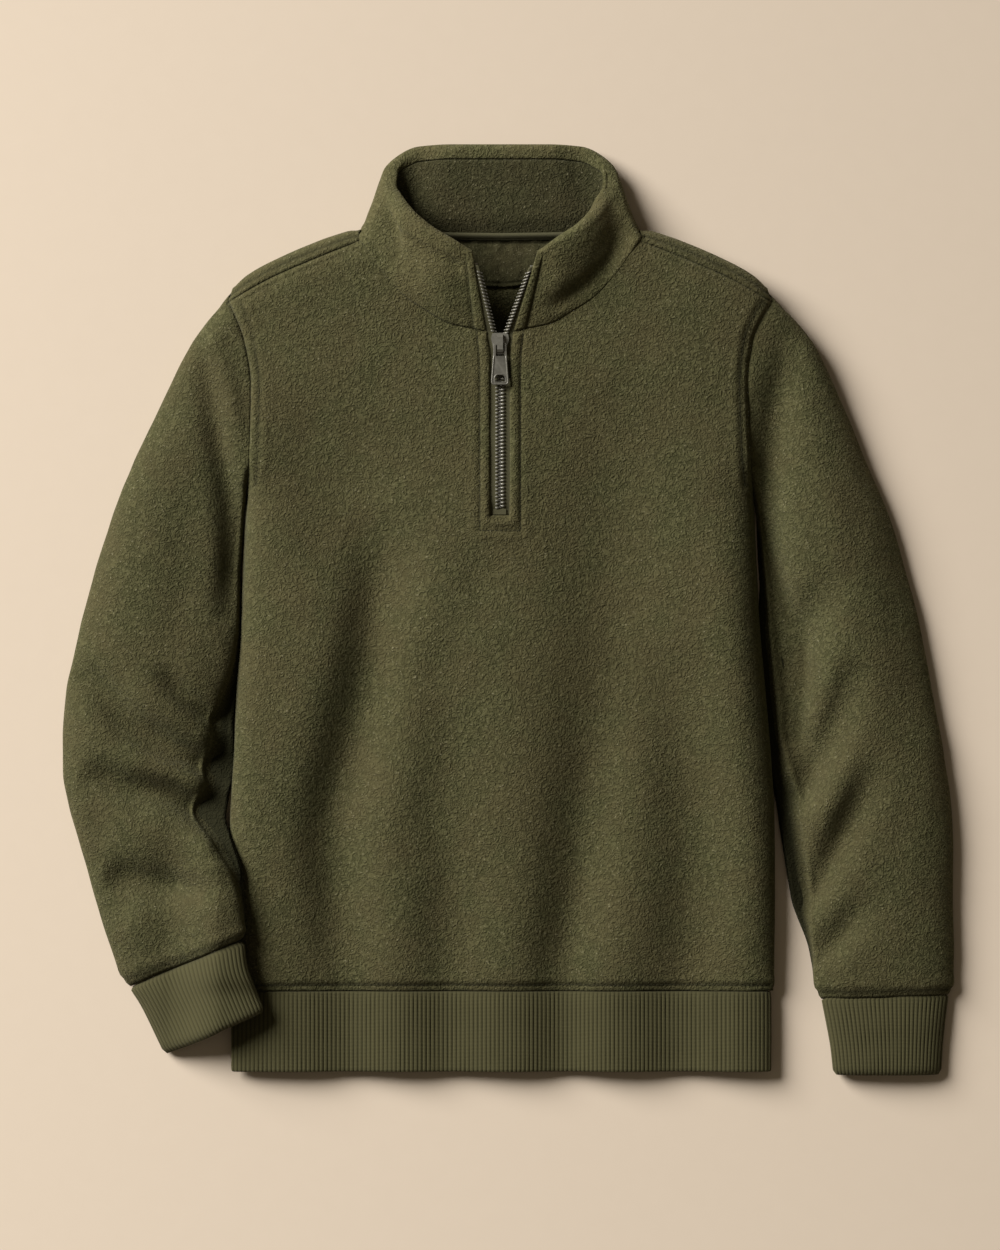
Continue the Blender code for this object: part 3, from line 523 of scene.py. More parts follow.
def knit_group() -> bpy.types.NodeTree:
    """Fine knitted loops in rows along the ribs.

    Returns:
        The group: a height, and a mask for large soft patches.
    """
    tree = new_group(
        "knit_loops", {"Place": ("Vector", 0), "Loop": ("Float", 1.1)}, {"Height": "Float", "Cloud": "Float"}
    )
    n = Nodes(tree)
    come, go = n.add("NodeGroupInput"), n.add("NodeGroupOutput")
    split = n.add("SeparateXYZ", {0: come.outputs["Place"]})
    pace = n.math("DIVIDE", 1000.0 * math.tau, come.outputs["Loop"])
    wobble = n.add("TexNoise", {"Vector": come.outputs["Place"], "Scale": 260.0, "Detail": 2.0})
    lean = n.math("MULTIPLY", n.math("SUBTRACT", wobble.outputs["Fac"], 0.5), 5.0)
    rows = n.math("SINE", n.math("ADD", n.math("MULTIPLY", split.outputs[1], pace), lean))
    fibre = n.add("TexNoise", {"Vector": come.outputs["Place"], "Scale": 1500.0, "Detail": 2.0})
    height = n.math("ADD", n.math("MULTIPLY", rows, 0.35), n.math("MULTIPLY", fibre.outputs["Fac"], 0.8))
    cloud = n.add("TexNoise", {"Vector": come.outputs["Place"], "Scale": 40.0, "Detail": 2.0})
    tree.links.new(height, go.inputs["Height"])
    tree.links.new(cloud.outputs["Fac"], go.inputs["Cloud"])
    return tree


Colour = tuple[float, float, float]


def rgba(colour: Colour) -> tuple[float, float, float, float]:
    """The colour with full opacity."""
    return (*colour, 1.0)


def principled(name: str) -> tuple[bpy.types.Material, Nodes, bpy.types.Node]:
    """A new material with its tree and its Principled shader.

    Args:
        name: of the material.

    Returns:
        The material, its nodes and the shader.
    """
    material = bpy.data.materials.new(name)
    material.use_nodes = True
    return material, Nodes(material.node_tree), material.node_tree.nodes["Principled BSDF"]


@dataclass(frozen=True)
class FleeceFinish:
    """Brushed fleece: the colours of its deep and raised pile, of its warmer patches and of its glints, and
    its sizes.

    The deep colour is painted shade in the pile's hollows, the tip colour painted light on its raised tips,
    and the glints painted highlights. The tone multiplies the colours as painted light and shade: a lighter
    or darker copy of the same fleece for a piece that should look more lit or more shaded.
    """

    # deep: painted shade in the pile's hollows; tip: painted light on its raised tips
    deep: Colour = (0.040, 0.040, 0.0145)
    tip: Colour = (0.107, 0.102, 0.045)
    warm: Colour = (0.087, 0.071, 0.032)
    # glint: the colour of painted highlights on the nubs
    glint: Colour = (0.28, 0.255, 0.16)
    # multiplies the colours: below 1 painted shade, above 1 painted light
    tone: float = 1.0
    nub: float = 3.6
    rise: float = 0.72
    # how strongly the seam mask paints shade: along seams and stitch lines, and under the sleeves beside the
    # body
    painted_seam_shade: float = 0.6

    def material(self, name: str) -> bpy.types.Material:
        """The fleece's material, with painted shade where the piece's seam mask is 1.

        Args:
            name: of the material.

        Returns:
            The material.
        """
        made, n, shader = principled(name)
        place = n.add("TexCoord").outputs["Object"]
        pile = n.add("Group", {"Place": place, "Nub": self.nub}, node_tree=GROUPS["pile"])
        toned = [tuple(self.tone * c for c in colour) for colour in (self.deep, self.tip, self.warm)]
        deep, tip, warm = (rgba(colour) for colour in toned)
        # painted shade in the hollows and painted light on the raised tips
        colour = n.mix(pile.outputs["Tip"], deep, tip)
        cloud = n.add("MapRange", {"Value": pile.outputs["Cloud"], "From Min": 0.38, "From Max": 0.62})
        cloud.inputs["To Max"].default_value = 0.5
        colour = n.mix(cloud.outputs[0], colour, warm)
        # painted highlights: glints on the nubs
        colour = n.mix(n.math("MULTIPLY", pile.outputs["Glint"], 0.6), colour, rgba(self.glint))
        # painted shade where the seam mask is up: seams, stitch lines and the sleeves' undersides
        seam = n.add("Attribute", attribute_name="seam")
        shade = n.math("MULTIPLY", seam.outputs["Fac"], self.painted_seam_shade, clamp=True)
        colour = n.mix(shade, colour, rgba(tuple(c * 0.3 for c in self.deep)))
        links = n.tree.links
        links.new(colour, shader.inputs["Base Color"])
        bump = n.add("Bump", {"Height": pile.outputs["Height"], "Strength": 1.0, "Distance": self.rise * MM})
        links.new(bump.outputs[0], shader.inputs["Normal"])
        shader.inputs["Roughness"].default_value = 0.95
        shader.inputs["Specular IOR Level"].default_value = 0.15
        shader.inputs["Sheen Weight"].default_value = 0.1
        shader.inputs["Sheen Roughness"].default_value = 0.45
        shader.inputs["Sheen Tint"].default_value = rgba((0.8, 0.78, 0.5))
        return made


@dataclass(frozen=True)
class RibFinish:
    """Ribbed knit: colours of its ridges and of the valleys between, the valleys' darker one painted shade,
    and the turn of its ribs in plan.
    """

    ridge: Colour = (0.084, 0.077, 0.033)
    valley: Colour = (0.045, 0.041, 0.0165)
    turn: float = 0.0

    def material(self, name: str) -> bpy.types.Material:
        """The knit's material; its valley mask says how deep between two ribs a place is, and paints shade
        there.

        Args:
            name: of the material.

        Returns:
            The material.
        """
        made, n, shader = principled(name)
        place = n.add("TexCoord").outputs["Object"]
        turned = n.add("Mapping", {"Vector": place, "Rotation": (0.0, 0.0, self.turn)})
        knit = n.add("Group", {"Place": turned.outputs[0]}, node_tree=GROUPS["knit"])
        valley = n.add("Attribute", attribute_name="valley")
        # painted shade in the valleys between the ribs
        colour = n.mix(valley.outputs["Fac"], rgba(self.ridge), rgba(self.valley))
        cloud = n.add("MapRange", {"Value": knit.outputs["Cloud"], "From Min": 0.3, "From Max": 0.7})
        cloud.inputs["To Max"].default_value = 0.25
        colour = n.mix(cloud.outputs[0], colour, rgba(tuple(c * 0.7 for c in self.ridge)))
        links = n.tree.links
        links.new(colour, shader.inputs["Base Color"])
        bump = n.add("Bump", {"Height": knit.outputs["Height"], "Strength": 0.8, "Distance": 0.3 * MM})
        links.new(bump.outputs[0], shader.inputs["Normal"])
        shader.inputs["Roughness"].default_value = 0.9
        shader.inputs["Specular IOR Level"].default_value = 0.2
        shader.inputs["Sheen Weight"].default_value = 0.06
        shader.inputs["Sheen Roughness"].default_value = 0.5
        return made


@dataclass(frozen=True)
class ClothFinish:
    """Plain woven cloth or thread: its colour, the weave's pitch in millimetres and how rough it is."""

    colour: Colour
    pitch: float = 0.7
    rough: float = 0.85

    def material(self, name: str) -> bpy.types.Material:
        """A material with a fine over-and-under weave in its bump and, as painted shade and light, in its
        colour: darker in the weave's low points, lighter on its high points.

        Args:
            name: of the material.

        Returns:
            The material.
        """
        made, n, shader = principled(name)
        place = n.add("TexCoord").outputs["Object"]
        split = n.add("SeparateXYZ", {0: place})
        pace = 1000 * math.tau / self.pitch
        across = n.math("SINE", n.math("MULTIPLY", split.outputs[0], pace))
        along = n.math("SINE", n.math("MULTIPLY", split.outputs[1], pace))
        weave = n.math("MULTIPLY", across, along)
        noise = n.add("TexNoise", {"Vector": place, "Scale": 700.0, "Detail": 3.0})
        height = n.math("ADD", weave, noise.outputs["Fac"])
        share = n.add("MapRange", {"Value": height, "From Min": -0.6, "From Max": 1.6})
        # painted shade in the weave's low points and painted light on its high points, with random mottling
        # from the noise
        dark = tuple(c * 0.55 for c in self.colour)
        light = tuple(c * 1.3 for c in self.colour)
        links = n.tree.links
        links.new(n.mix(share.outputs[0], rgba(dark), rgba(light)), shader.inputs["Base Color"])
        bump = n.add("Bump", {"Height": height, "Strength": 0.5, "Distance": 0.15 * MM})
        links.new(bump.outputs[0], shader.inputs["Normal"])
        shader.inputs["Roughness"].default_value = self.rough
        shader.inputs["Specular IOR Level"].default_value = 0.25
        return made


@dataclass(frozen=True)
class MetalFinish:
    """Antique zip metal: dark in its hollows and bright where hands have worn it."""

    dark: Colour = (0.045, 0.043, 0.034)
    worn: Colour = (0.22, 0.21, 0.175)
    rough: float = 0.34

    def material(self, name: str) -> bpy.types.Material:
        """The metal's material, with mottled tarnish and fine brushing.

        Args:
            name: of the material.

        Returns:
            The material.
        """
        made, n, shader = principled(name)
        place = n.add("TexCoord").outputs["Object"]
        edge = n.add("NewGeometry").outputs["Pointiness"]
        wear = n.add("MapRange", {"Value": edge, "From Min": 0.5, "From Max": 0.56})
        mottle = n.add("TexNoise", {"Vector": place, "Scale": 420.0, "Detail": 4.0})
        drawn_out = n.add("Mapping", {"Vector": place, "Scale": (9.0, 1.0, 1.0)})
        brush = n.add("TexNoise", {"Vector": drawn_out.outputs[0], "Scale": 700.0})
        worn = n.math("MULTIPLY", wear.outputs[0], 0.7)
        share = n.math("ADD", worn, n.math("MULTIPLY", mottle.outputs["Fac"], 0.4), clamp=True)
        links = n.tree.links
        links.new(n.mix(share, rgba(self.dark), rgba(self.worn)), shader.inputs["Base Color"])
        polished, dull = self.rough - 0.08, self.rough + 0.16
        rough = n.add("MapRange", {"Value": mottle.outputs["Fac"], "To Min": polished, "To Max": dull})
        links.new(rough.outputs[0], shader.inputs["Roughness"])
        bump = n.add("Bump", {"Height": brush.outputs["Fac"], "Strength": 0.25, "Distance": 0.05 * MM})
        links.new(bump.outputs[0], shader.inputs["Normal"])
        shader.inputs["Metallic"].default_value = 0.45
        return made


GROUPS = {"pile": pile_group(), "knit": knit_group()}


class Finishes(Enum):
    """Each material of the garment, made once."""

    FLEECE = FleeceFinish()
    # darker and lighter copies of the fleece: painted shade on the right sleeve, the collar's inner layer
    # and the neck patch, painted light on the collar's outer layer
    SHADED = FleeceFinish(tone=0.93)
    COLLAR = FleeceFinish(tone=1.12)
    FACING = FleeceFinish(tone=0.62)
    PATCH = FleeceFinish(tone=0.62, nub=3.0, rise=0.3)
    THREAD = ClothFinish((0.04, 0.037, 0.017), 0.5)
    TAPE = ClothFinish((0.088, 0.082, 0.042), 0.9)
    METAL = MetalFinish()

    @property
    def material(self) -> bpy.types.Material:
        """The finish's material, made at its first use."""
        name = f"{self.name.lower()}_finish"
        return bpy.data.materials.get(name) or self.value.material(name)


def dress(
    piece: bpy.types.Object,
    material: bpy.types.Material,
    body: str = FRONT_BODY,
    stands_for: tuple[str, ...] = (),
) -> None:
    """Gives a piece its material and its place in the model.

    Args:
        piece: the finished piece.
        material: its only one.
        body: that it moves with.
        stands_for: CAD nodes that it replaces.
    """
    piece.data.materials.clear()
    piece.data.materials.append(material)
    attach(piece, body)
    if stands_for:
        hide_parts(*stands_for)
    log.info("%s: %d faces", piece.name, len(piece.data.polygons))


# ---------------------------------------------------------------- the body

GAP = 0.3  # between two pieces at a seam
SEAM = 0.12  # between two edges that are sewn edge to edge
EDGE_LIFT = 10.0  # height of the side seams
OUTER_LIFT = 5.5  # height of the sleeves' outer edges
FOLD_HEIGHT = 12.0  # half the height of the fold over the shoulder
ARMPIT_Y, HEM_DEPTH, SLIT_BOTTOM, NECK_Y = 455.0, 65.0, 446.0, 593.0
ARMPIT_SHARE = 0.7225  # of the way up the front's columns
NECK_CORNER = 112.0  # X where the neckline meets the shoulder seam
NECK_DIP = 3.5  # how far the shoulder's fold is drawn in beside the collar
TOPSTITCH = 5.5  # from a seam to the stitching beside it
WELT = 8.8  # width of the cloth turned back beside the zip
FLOOR_GAP = 0.05  # between the floor and the cloth on it
BACK_ROW = 1.6  # between the back's rows over the shoulder


@dataclass(frozen=True)
class BodyShape:
    """The drafted shape of the body: plan, heights and folds, as functions of layout places."""

    plan: Table = Table(
        "y right left",
        (
            (0, -217, 217.5), (65, -217.5, 219.5), (140, -219, 221), (203, -217, 220.5), (251, -214, 218),
            (299, -212, 214), (363, -208, 208.5), (411, -206, 206), (455, -204, 204), (492, -200.5, 200),
            (552, -199, 198), (586, -204, 202), (605, -211, 210), (621, -219, 220),
        ),
    )
    crown: Table = Table(
        "y height",
        ((0, 17.5), (60, 18), (66, 18.5), (86, 22), (140, 25), (300, 29), (455, 32), (560, 34), (680, 38)),
    )
    shoulder: Table = Table(
        "x y", ((0, 800), (111, 680), (143, 668), (174, 655), (203, 639.5), (222, 621), (260, 588))
    )
    neckline: Table = Table(
        "x y", ((21, 595), (40, 599), (59, 609.5), (75, 620), (91, 637), (102, 653), (112, 666))
    )
    shoulder_seam: Table = Table("x y", ((112, 666), (135, 657), (152, 650), (182, 637), (217, 618)))
    back_neck: Table = Table(
        "x y z",
        (
            (112, 666, 22), (112, 673, 13), (106, 676, 5.5), (94, 675.5, 1.5), (75, 674, 0), (38, 672.5, 0),
            (0, 672, 0),
        ),
    )
    seam_power: float = 7.0
    left_power: float = 11.0
    back_power: float = 16.0
    armhole_rise: float = 0.72
    shoulder_round: float = 32.0
    slit_half: float = 7.6
    slit_flare: float = 2.8
    welt: float = 16.2
    folds: tuple[Crease, ...] = (
        Crease(((-122, 60, 6, 26), (-126, 107, 13, 26), (-131, 155, 17, 26), (-133, 203, 18.5, 26),
                (-122, 251, 18.5, 26), (-111, 299, 18, 25), (-103, 347, 16, 24), (-97, 395, 12, 24),
                (-95, 430, 5, 26), (-95, 455, 0, 30)), 1.15),
        Crease(((-42, 60, 6, 24), (-41, 107, 10, 26), (-39, 155, 9.5, 28), (-45, 203, 8.5, 28),
                (-42, 251, 7, 28), (-46, 299, 5, 26), (-52, 350, 0, 26)), 1.25),
        Crease(((50, 60, 7, 24), (55, 107, 14, 26), (62, 155, 14.5, 28), (68, 203, 14, 30),
                (74, 251, 13, 32), (82, 299, 11, 36), (90, 347, 10.5, 42), (90, 395, 10.5, 46),
                (90, 443, 10, 50), (94, 500, 6, 50), (100, 560, 0, 50))),
        Crease(((140, 60, 7, 26), (154, 107, 12, 32), (158, 155, 12.5, 34), (153, 203, 12, 34),
                (147, 251, 10, 30), (140, 299, 7, 28), (134, 345, 0, 26)), 1.2),
        Crease(((-150, 560, 0, 30), (-150, 500, 6.5, 34), (-145, 440, 6.5, 34), (-150, 380, 0, 30)), 1.5),
        Crease(((-12, 430, 0, 20), (-18, 395, 2.5, 20), (-50, 330, 2.5, 22), (-56, 300, 0, 22))),
        Crease(((-206, 120, -1, 14), (-204, 250, -2.5, 16), (-200, 400, -2, 16), (-196, 520, 0, 14))),
        Crease(((200, 70, -2, 26), (200, 150, -8, 28), (195, 300, -8, 28), (188, 390, -5, 26),
                (180, 460, 0, 22))),
        Crease(((-110, 530, 0, 50), (-108, 465, 6, 50), (-108, 400, 6, 46), (-110, 340, 0, 40))),
    )

    def edge_x(self, y: Array, side: Side) -> Array:
        """The body's edge in plan on one side."""
        return self.plan.read("y", y, side.word)

    def side_share(self, x: Array, y: Array) -> Array:
        """How far a place is from the centre front to its side edge, 0 to 1."""
        return np.clip(np.where(x < 0, x / self.edge_x(y, Side.RIGHT), x / self.edge_x(y, Side.LEFT)), 0, 1)

    def side_height(self, x: Array, y: Array, full: float, power: float) -> Array:
        """Share of the height kept near the side edge: a superellipse, but full along the armhole.

        Args:
            x: plan places.
            y: plan places.
            full: share that the armhole keeps at least.
            power: of the superellipse.

        Returns:
            Shares of the height.
        """
        keep = full * smooth((y - ARMPIT_Y) / 42)
        power = np.where((x > 0) & (full < 1), self.left_power, power)
        return keep + (1 - keep) * np.sqrt(1 - self.side_share(x, y) ** power)

    def slit_x(self, y: Array) -> Array:
        """Half the width of the zip's slit, which flares at the neckline."""
        return self.slit_half + self.slit_flare * smooth((y - 574) / 20)

    def front_height(self, x: Array, y: Array) -> Array:
        """Height of the front: its crown less the folds, rounded down at the sides and over the shoulder.

        Args:
            x: plan places.
            y: plan places.

        Returns:
            Heights.
        """
        inside = (self.shoulder.read("x", np.abs(x), "y") - y) / self.shoulder_round
        over = np.sqrt(1 - (1 - np.clip(inside, 0, 1)) ** 2)
        rise = self.crown.read("y", y, "height") - EDGE_LIFT - total_depth(self.folds, x, y)
        return EDGE_LIFT + rise * self.side_height(x, y, self.armhole_rise, self.seam_power) * over

    def back_height(self, x: Array, y: Array) -> Array:
        """Height of the back: flat on the floor, curling up to the side seams."""
        return EDGE_LIFT * (1 - self.side_height(x, y, 1.0, self.back_power))


SHAPE = BodyShape()


@dataclass
class Body:
    """The front and the back, and the rings of points that their neighbours share with them."""

    cloth: float = 3.0
    rows_below: int = 140
    rows_above: int = 58
    neck_columns: int = 36
    shoulder_columns: int = 42
    welt_columns: int = 18
    slit_columns: int = 5
    rows_to_fold: int = 30
    rows_over_fold: int = 18
    rings: dict[object, tuple[Array, Array]] = field(default_factory=dict)

    def top_edge(self) -> tuple[Array, Array]:
        """The neckline from the zip to the neck corner, then the shoulder seam to the armhole.

        Returns:
            Its x and y.
        """
        neck = np.linspace(21, NECK_CORNER, self.neck_columns + 1)
        seam = np.linspace(NECK_CORNER, 217, self.shoulder_columns + 1)[1:]
        y = np.concatenate([SHAPE.neckline.read("x", neck, "y"), SHAPE.shoulder_seam.read("x", seam, "y")])
        return np.concatenate([neck, seam]), y

    def front_half(self, side: Side) -> Array:
        """Half of the front: rows from the hem seam up, columns from the slit's edge to the side seam.

        Formula: each column runs from the hem to its place on the top edge; its share of the way to the side
        edge goes from a quarter sine, close together at the side, to that place's own share.

        Args:
            side: which half.

        Returns:
            A flat grid of points.
        """
        top_x, top_y = self.top_edge()
        across = np.linspace(18 / 215, 1, len(top_x)) ** 0.9
        above = np.sin(np.linspace(0, math.pi / 2, self.rows_above + 1))[1:]
        steps = np.linspace(0, 1, self.rows_below)
        below = np.interp(steps, (0, 0.09, 0.84, 1), (0, 0.024, 0.674, ARMPIT_SHARE))
        rows = np.concatenate([below, ARMPIT_SHARE + (1 - ARMPIT_SHARE) * above])
        y = HEM_DEPTH + GAP + rows[:, None] * (top_y - HEM_DEPTH - GAP)
        top_share = top_x / np.abs(SHAPE.edge_x(top_y, side))
        top_share[-1] = 1
        low_share = np.sin(math.pi / 2 * across)
        x = (low_share + smooth(rows[:, None]) * (top_share - low_share)) * np.abs(SHAPE.edge_x(y, side))
        slit_y = HEM_DEPTH + GAP + rows * (NECK_Y - HEM_DEPTH - GAP)
        share = np.linspace(0, 1, self.welt_columns + 1)[:-1]
        slit_x = SHAPE.slit_x(slit_y)[:, None]
        x = np.concatenate([slit_x + share * (x[:, :1] - slit_x), x], 1)
        y = np.concatenate([slit_y[:, None] + share * (y[:, :1] - slit_y[:, None]), y], 1)
        return np.stack([side.value * x, y, np.zeros_like(x)], -1)

    def back_half(self, side: Side, front: Array) -> Array:
        """Half of the back: rows from the hem, flat, then over the shoulder fold to the seam on the front.

        Formula: a flat sheet up to where the fold begins, then an arc of a circle of the fold's height.

        Args:
            side: which half.
            front: the same half of the front.

        Returns:
            A grid of points.
        """
        corner = self.welt_columns + self.neck_columns
        seam = front[-1, corner:]
        stops = np.linspace(0, 1, self.neck_columns + 1)
        line = np.linspace(0, 1, len(SHAPE.back_neck.rows))
        neck = np.stack([through(line, SHAPE.back_neck.get(name), stops) for name in "xyz"], -1)
        neck = (neck * (side.value, 1, 1))[1:][::-1]
        neck[:, 2] = np.minimum(neck[:, 2], seam[0, 2] - 2)
        ends = np.concatenate([neck, seam + (0, SEAM, 0)])
        rows_y, armpit = front[:, -1, 1], self.rows_below - 1
        half = np.maximum(FOLD_HEIGHT, ends[:, 2] / 2)
        turn = np.arccos(np.clip(1 - ends[:, 2] / half, -1, 1))
        fold_y = SHAPE.shoulder.read("x", np.abs(ends[:, 0]), "y")
        fold_y -= NECK_DIP * bell(np.abs(ends[:, 0]) - NECK_CORNER, 6)
        over = turn > math.pi / 2
        radius = np.clip((fold_y - ends[:, 1]) / np.maximum(1 - np.sin(turn), 0.05), 10, 30)
        length = np.where(over, radius, 28) * np.sin(turn)
        length = np.where(over, length, np.maximum(length, 18))
        start_y = ends[:, 1] - length
        low = (rows_y[: armpit + 1, None] - HEM_DEPTH) / (rows_y[armpit] - HEM_DEPTH)
        y_low = HEM_DEPTH + low * (rows_y[armpit] - HEM_DEPTH) * np.ones(len(ends))
        y_low[:, -1] = rows_y[: armpit + 1]
        high = np.linspace(0, 1, self.rows_to_fold + 1)[1:, None]
        y_high = rows_y[armpit] + high * (start_y - rows_y[armpit])
        y = np.concatenate([y_low, y_high])
        share = np.sin(math.pi / 2 * np.linspace(0, 1, len(ends)) ** 0.9)
        end_share = np.minimum(np.abs(ends[:, 0]) / np.abs(SHAPE.edge_x(start_y, side)), 1)
        end_share[-1] = 1
        mix = smooth((y - HEM_DEPTH) / (start_y - HEM_DEPTH))
        x = side.value * (share + mix * (end_share - share)) * np.abs(SHAPE.edge_x(y, side))
        flat = np.stack([x, y, SHAPE.back_height(x, y)], -1)
        arc = []
        for part in np.linspace(0, 1, self.rows_over_fold + 1)[1:]:
            early = np.where(turn > 0.05, np.sin(turn * part) / np.maximum(np.sin(turn), 0.05), part)
            up = np.where(over, radius * np.sin(turn * part), length * early)
            across = flat[-1, :, 0] + (ends[:, 0] - flat[-1, :, 0]) * part
            arc.append(np.stack([across, start_y + up, half * (1 - np.cos(turn * part))], -1))
        arc[-1] = ends
        return np.concatenate([flat, np.array(arc)])

    def seam_lines(self) -> list[Array]:
        """Plan paths of the front's stitching: beside the zip, along the armholes and above the hem.

        Returns:
            The paths: the zip's, the two armholes' and the hem's.
        """
        w = SHAPE.welt
        half = np.array([(w + 2.4, 594), (w + 0.6, 575), (w, 560), (w, 434.5)])
        lines = [np.concatenate([half * (-1, 1), half[::-1]])]
        y = np.linspace(470, 618, 30)
        for side in Side:
            x = SHAPE.edge_x(y, side) - side.value * (6.5 + 2.0 * smooth((y - 560) / 60))
            lines.append(np.stack([x, y], -1))
        x = np.linspace(-216, 216, 60)
        lines.append(np.stack([x, np.full_like(x, HEM_DEPTH + 5.0)], -1))
        return lines

    def front_relief(self, x: Array, y: Array) -> tuple[Array, Array]:
        """What sewing does to the front.

        Formula: the welts beside the zip swell as half sines, the slit's edges turn down as a quarter
        circle, and each stitched line sinks as a bell, with the cloth gathered in short waves along it.

        Args:
            x: plan places.
            y: plan places.

        Returns:
            How far the face moves up, and how close each place is to a seam: 1 on it, 0 away from it, which
            the fleece turns into painted shade.
        """
        below = np.maximum(SLIT_BOTTOM - y, 0)
        away = np.hypot(np.maximum(np.abs(x) - SHAPE.slit_x(y), 0), below)
        turned = quarter_round(away, 1.6)
        over_slit = (np.abs(x) < SHAPE.slit_x(y) + 12) & (y > SLIT_BOTTOM - 13)
        welt = 0.8 * np.sin(math.pi * np.clip(away / WELT, 0, 1)) ** 0.8
        relief = np.where(over_slit, welt - turned, 0)
        relief = relief - 1.1 * bell(np.abs(y - (SLIT_BOTTOM - 2.6)), 0.9) * (np.abs(x) < SHAPE.slit_half)
        # seam mask: painted shade along the stitched lines, the shoulder's topstitching and the hem seam
        seam = np.zeros_like(x)
        for i, line in enumerate(self.seam_lines()):
            gap = distance_to(line, x, y)
            width, deep = (0.9, 0.55) if i == 0 else (1.5, 1.0)
            relief -= deep * bell(gap, width) * (1 + 0.35 * waves(x, y, 9, 5 + i))
            relief += 0.5 * bell(gap - 5.0, 3.0) * (1 + 0.8 * waves(x, y, 16, 15 + i))
            seam = np.maximum(seam, 0.75 * bell(gap, 0.8) if i == 0 else bell(gap, 1.2))
        over = np.maximum(SHAPE.shoulder_seam.read("x", np.abs(x), "y") - y, 0)
        at_shoulder = smooth((np.abs(x) - NECK_CORNER + 3) / 4)
        rows = 0.45 * bell(over, 0.9) + 0.45 * bell(over - TOPSTITCH, 0.8)
        seam = np.maximum(seam, at_shoulder * rows)
        relief -= 0.6 * at_shoulder * bell(over - TOPSTITCH, 1.1)
        edge = np.minimum(y - HEM_DEPTH, 30)
        relief -= 1.8 * bell(edge, 3.2)
        seam = np.maximum(seam, 0.8 * bell(edge, 1.8))
        relief += 0.5 * waves(x, y, 55, 3) + 0.25 * waves(x, y, 24, 4)
        return relief, seam

    def build(self) -> None:
        """Makes the front and the back, and keeps the rings for their neighbours."""
        halves = {side: self.front_half(side) for side in Side}
        for half in halves.values():
            half[..., 2] = SHAPE.front_height(half[..., 0], half[..., 1])
        backs = {side: self.back_half(side, halves[side]) for side in Side}
        right, left = halves[Side.RIGHT][:, ::-1], halves[Side.LEFT]
        share = np.linspace(0, 1, self.slit_columns + 2)[1:-1, None]
        between = right[:, -1:] + share * (left[:, :1] - right[:, -1:])
        between[..., 2] = SHAPE.front_height(between[..., 0], between[..., 1])
        front = np.concatenate([right, between, left], 1)
        back = np.concatenate([backs[Side.RIGHT][:, ::-1], backs[Side.LEFT][:, 1:]], 1)
        armpit = self.rows_below - 1
        for side in Side:
            ring = np.concatenate([halves[side][armpit:-1, -1], backs[side][armpit + 1 :, -1][::-1]])
            self.rings[side] = (ring, ring_inward(ring, (0, 1)))
        self.rings["hem"] = (np.concatenate([front[0], back[0, ::-1][1:-1]]), np.empty(0))
        front_in, back_in = grid_inward(front), grid_inward(back[:, ::-1])[:, ::-1]
        back_in = np.where((back[..., 2:] < 6) & (back_in[..., 2:] < 0), -back_in, back_in)
        self.keep_neck(front, front_in, back, back_in)
        piece = self.front_piece(front, front_in)
        piece_back = self.back_piece(back, back_in)

    def keep_neck(self, front: Array, front_in: Array, back: Array, back_in: Array) -> None:
        """Keeps each side's ring round the neck, and turns its inward vectors the neck's way.

        Args:
            front: the front's grid.
            front_in: its inward vectors.
            back: the back's grid.
            back_in: its inward vectors.
        """
        half, middle = (front.shape[1] - self.slit_columns) // 2, back.shape[1] // 2
        for side in Side:
            start = 0 if side is Side.RIGHT else front.shape[1] - 1
            neck = [start - side.value * i for i in range(self.shoulder_columns, half)][::-1]
            front_in[-1, neck] = neck_inward(front[-1, neck])
            back_neck = [middle + side.value * i for i in range(self.neck_columns)]
            back_in[-1, back_neck] = neck_inward(back[-1, back_neck])
            points = np.concatenate([back[-1, back_neck], front[-1, neck][::-1]])
            inward = np.concatenate([back_in[-1, back_neck], front_in[-1, neck][::-1]])
            self.rings["neck", side] = (points, inward)

    def front_piece(self, front: Array, front_in: Array) -> bpy.types.Object:
        """The front, with its sewing and with its slit left open.

        Args:
            front: its grid.
            front_in: inward vectors.

        Returns:
            The dressed front.
        """
        relief, seam = self.front_relief(front[..., 0], front[..., 1])
        over = front[-1:, :, 1] - front[..., 1]
        sunk = 0.5 * bell(over, 1.4) - 0.4 * bell(over - 3.5, 2.0)
        relief = relief * smooth(over / 6) - sunk * smooth((np.abs(front[..., 0]) - NECK_CORNER - 2) / 6)
        face = front - front_in * relief[..., None]
        kept = np.ones((front.shape[0] - 1, front.shape[1] - 1), bool)
        first = (front.shape[1] - self.slit_columns) // 2 - 1
        kept[self.rows_below - 1 :, first : first + self.slit_columns + 1] = False
        piece = wall("front", face, front_in, self.cloth, kept=kept, masks={"seam": seam})
        dress(piece, Finishes.FLEECE.material, stands_for=("front_panel",))
        return piece

    def back_piece(self, back: Array, back_in: Array) -> bpy.types.Object:
        """The back, with a line of stitching where it comes over the shoulder.

        Args:
            back: its grid.
            back_in: inward vectors.

        Returns:
            The dressed back.
        """
        x, y = back[..., 0], back[..., 1]
        hollow = 0.35 * waves(x, y, 60, 8) * (back[..., 2] < 4)
        from_seam = BACK_ROW * np.arange(back.shape[0])[::-1][:, None] + 0 * x
        topstitch = bell(from_seam - 3 * BACK_ROW, 1.5) * (np.abs(x) > NECK_CORNER - 1)
        face = back - back_in * (np.minimum(hollow, 0) - 0.9 * topstitch)[..., None]
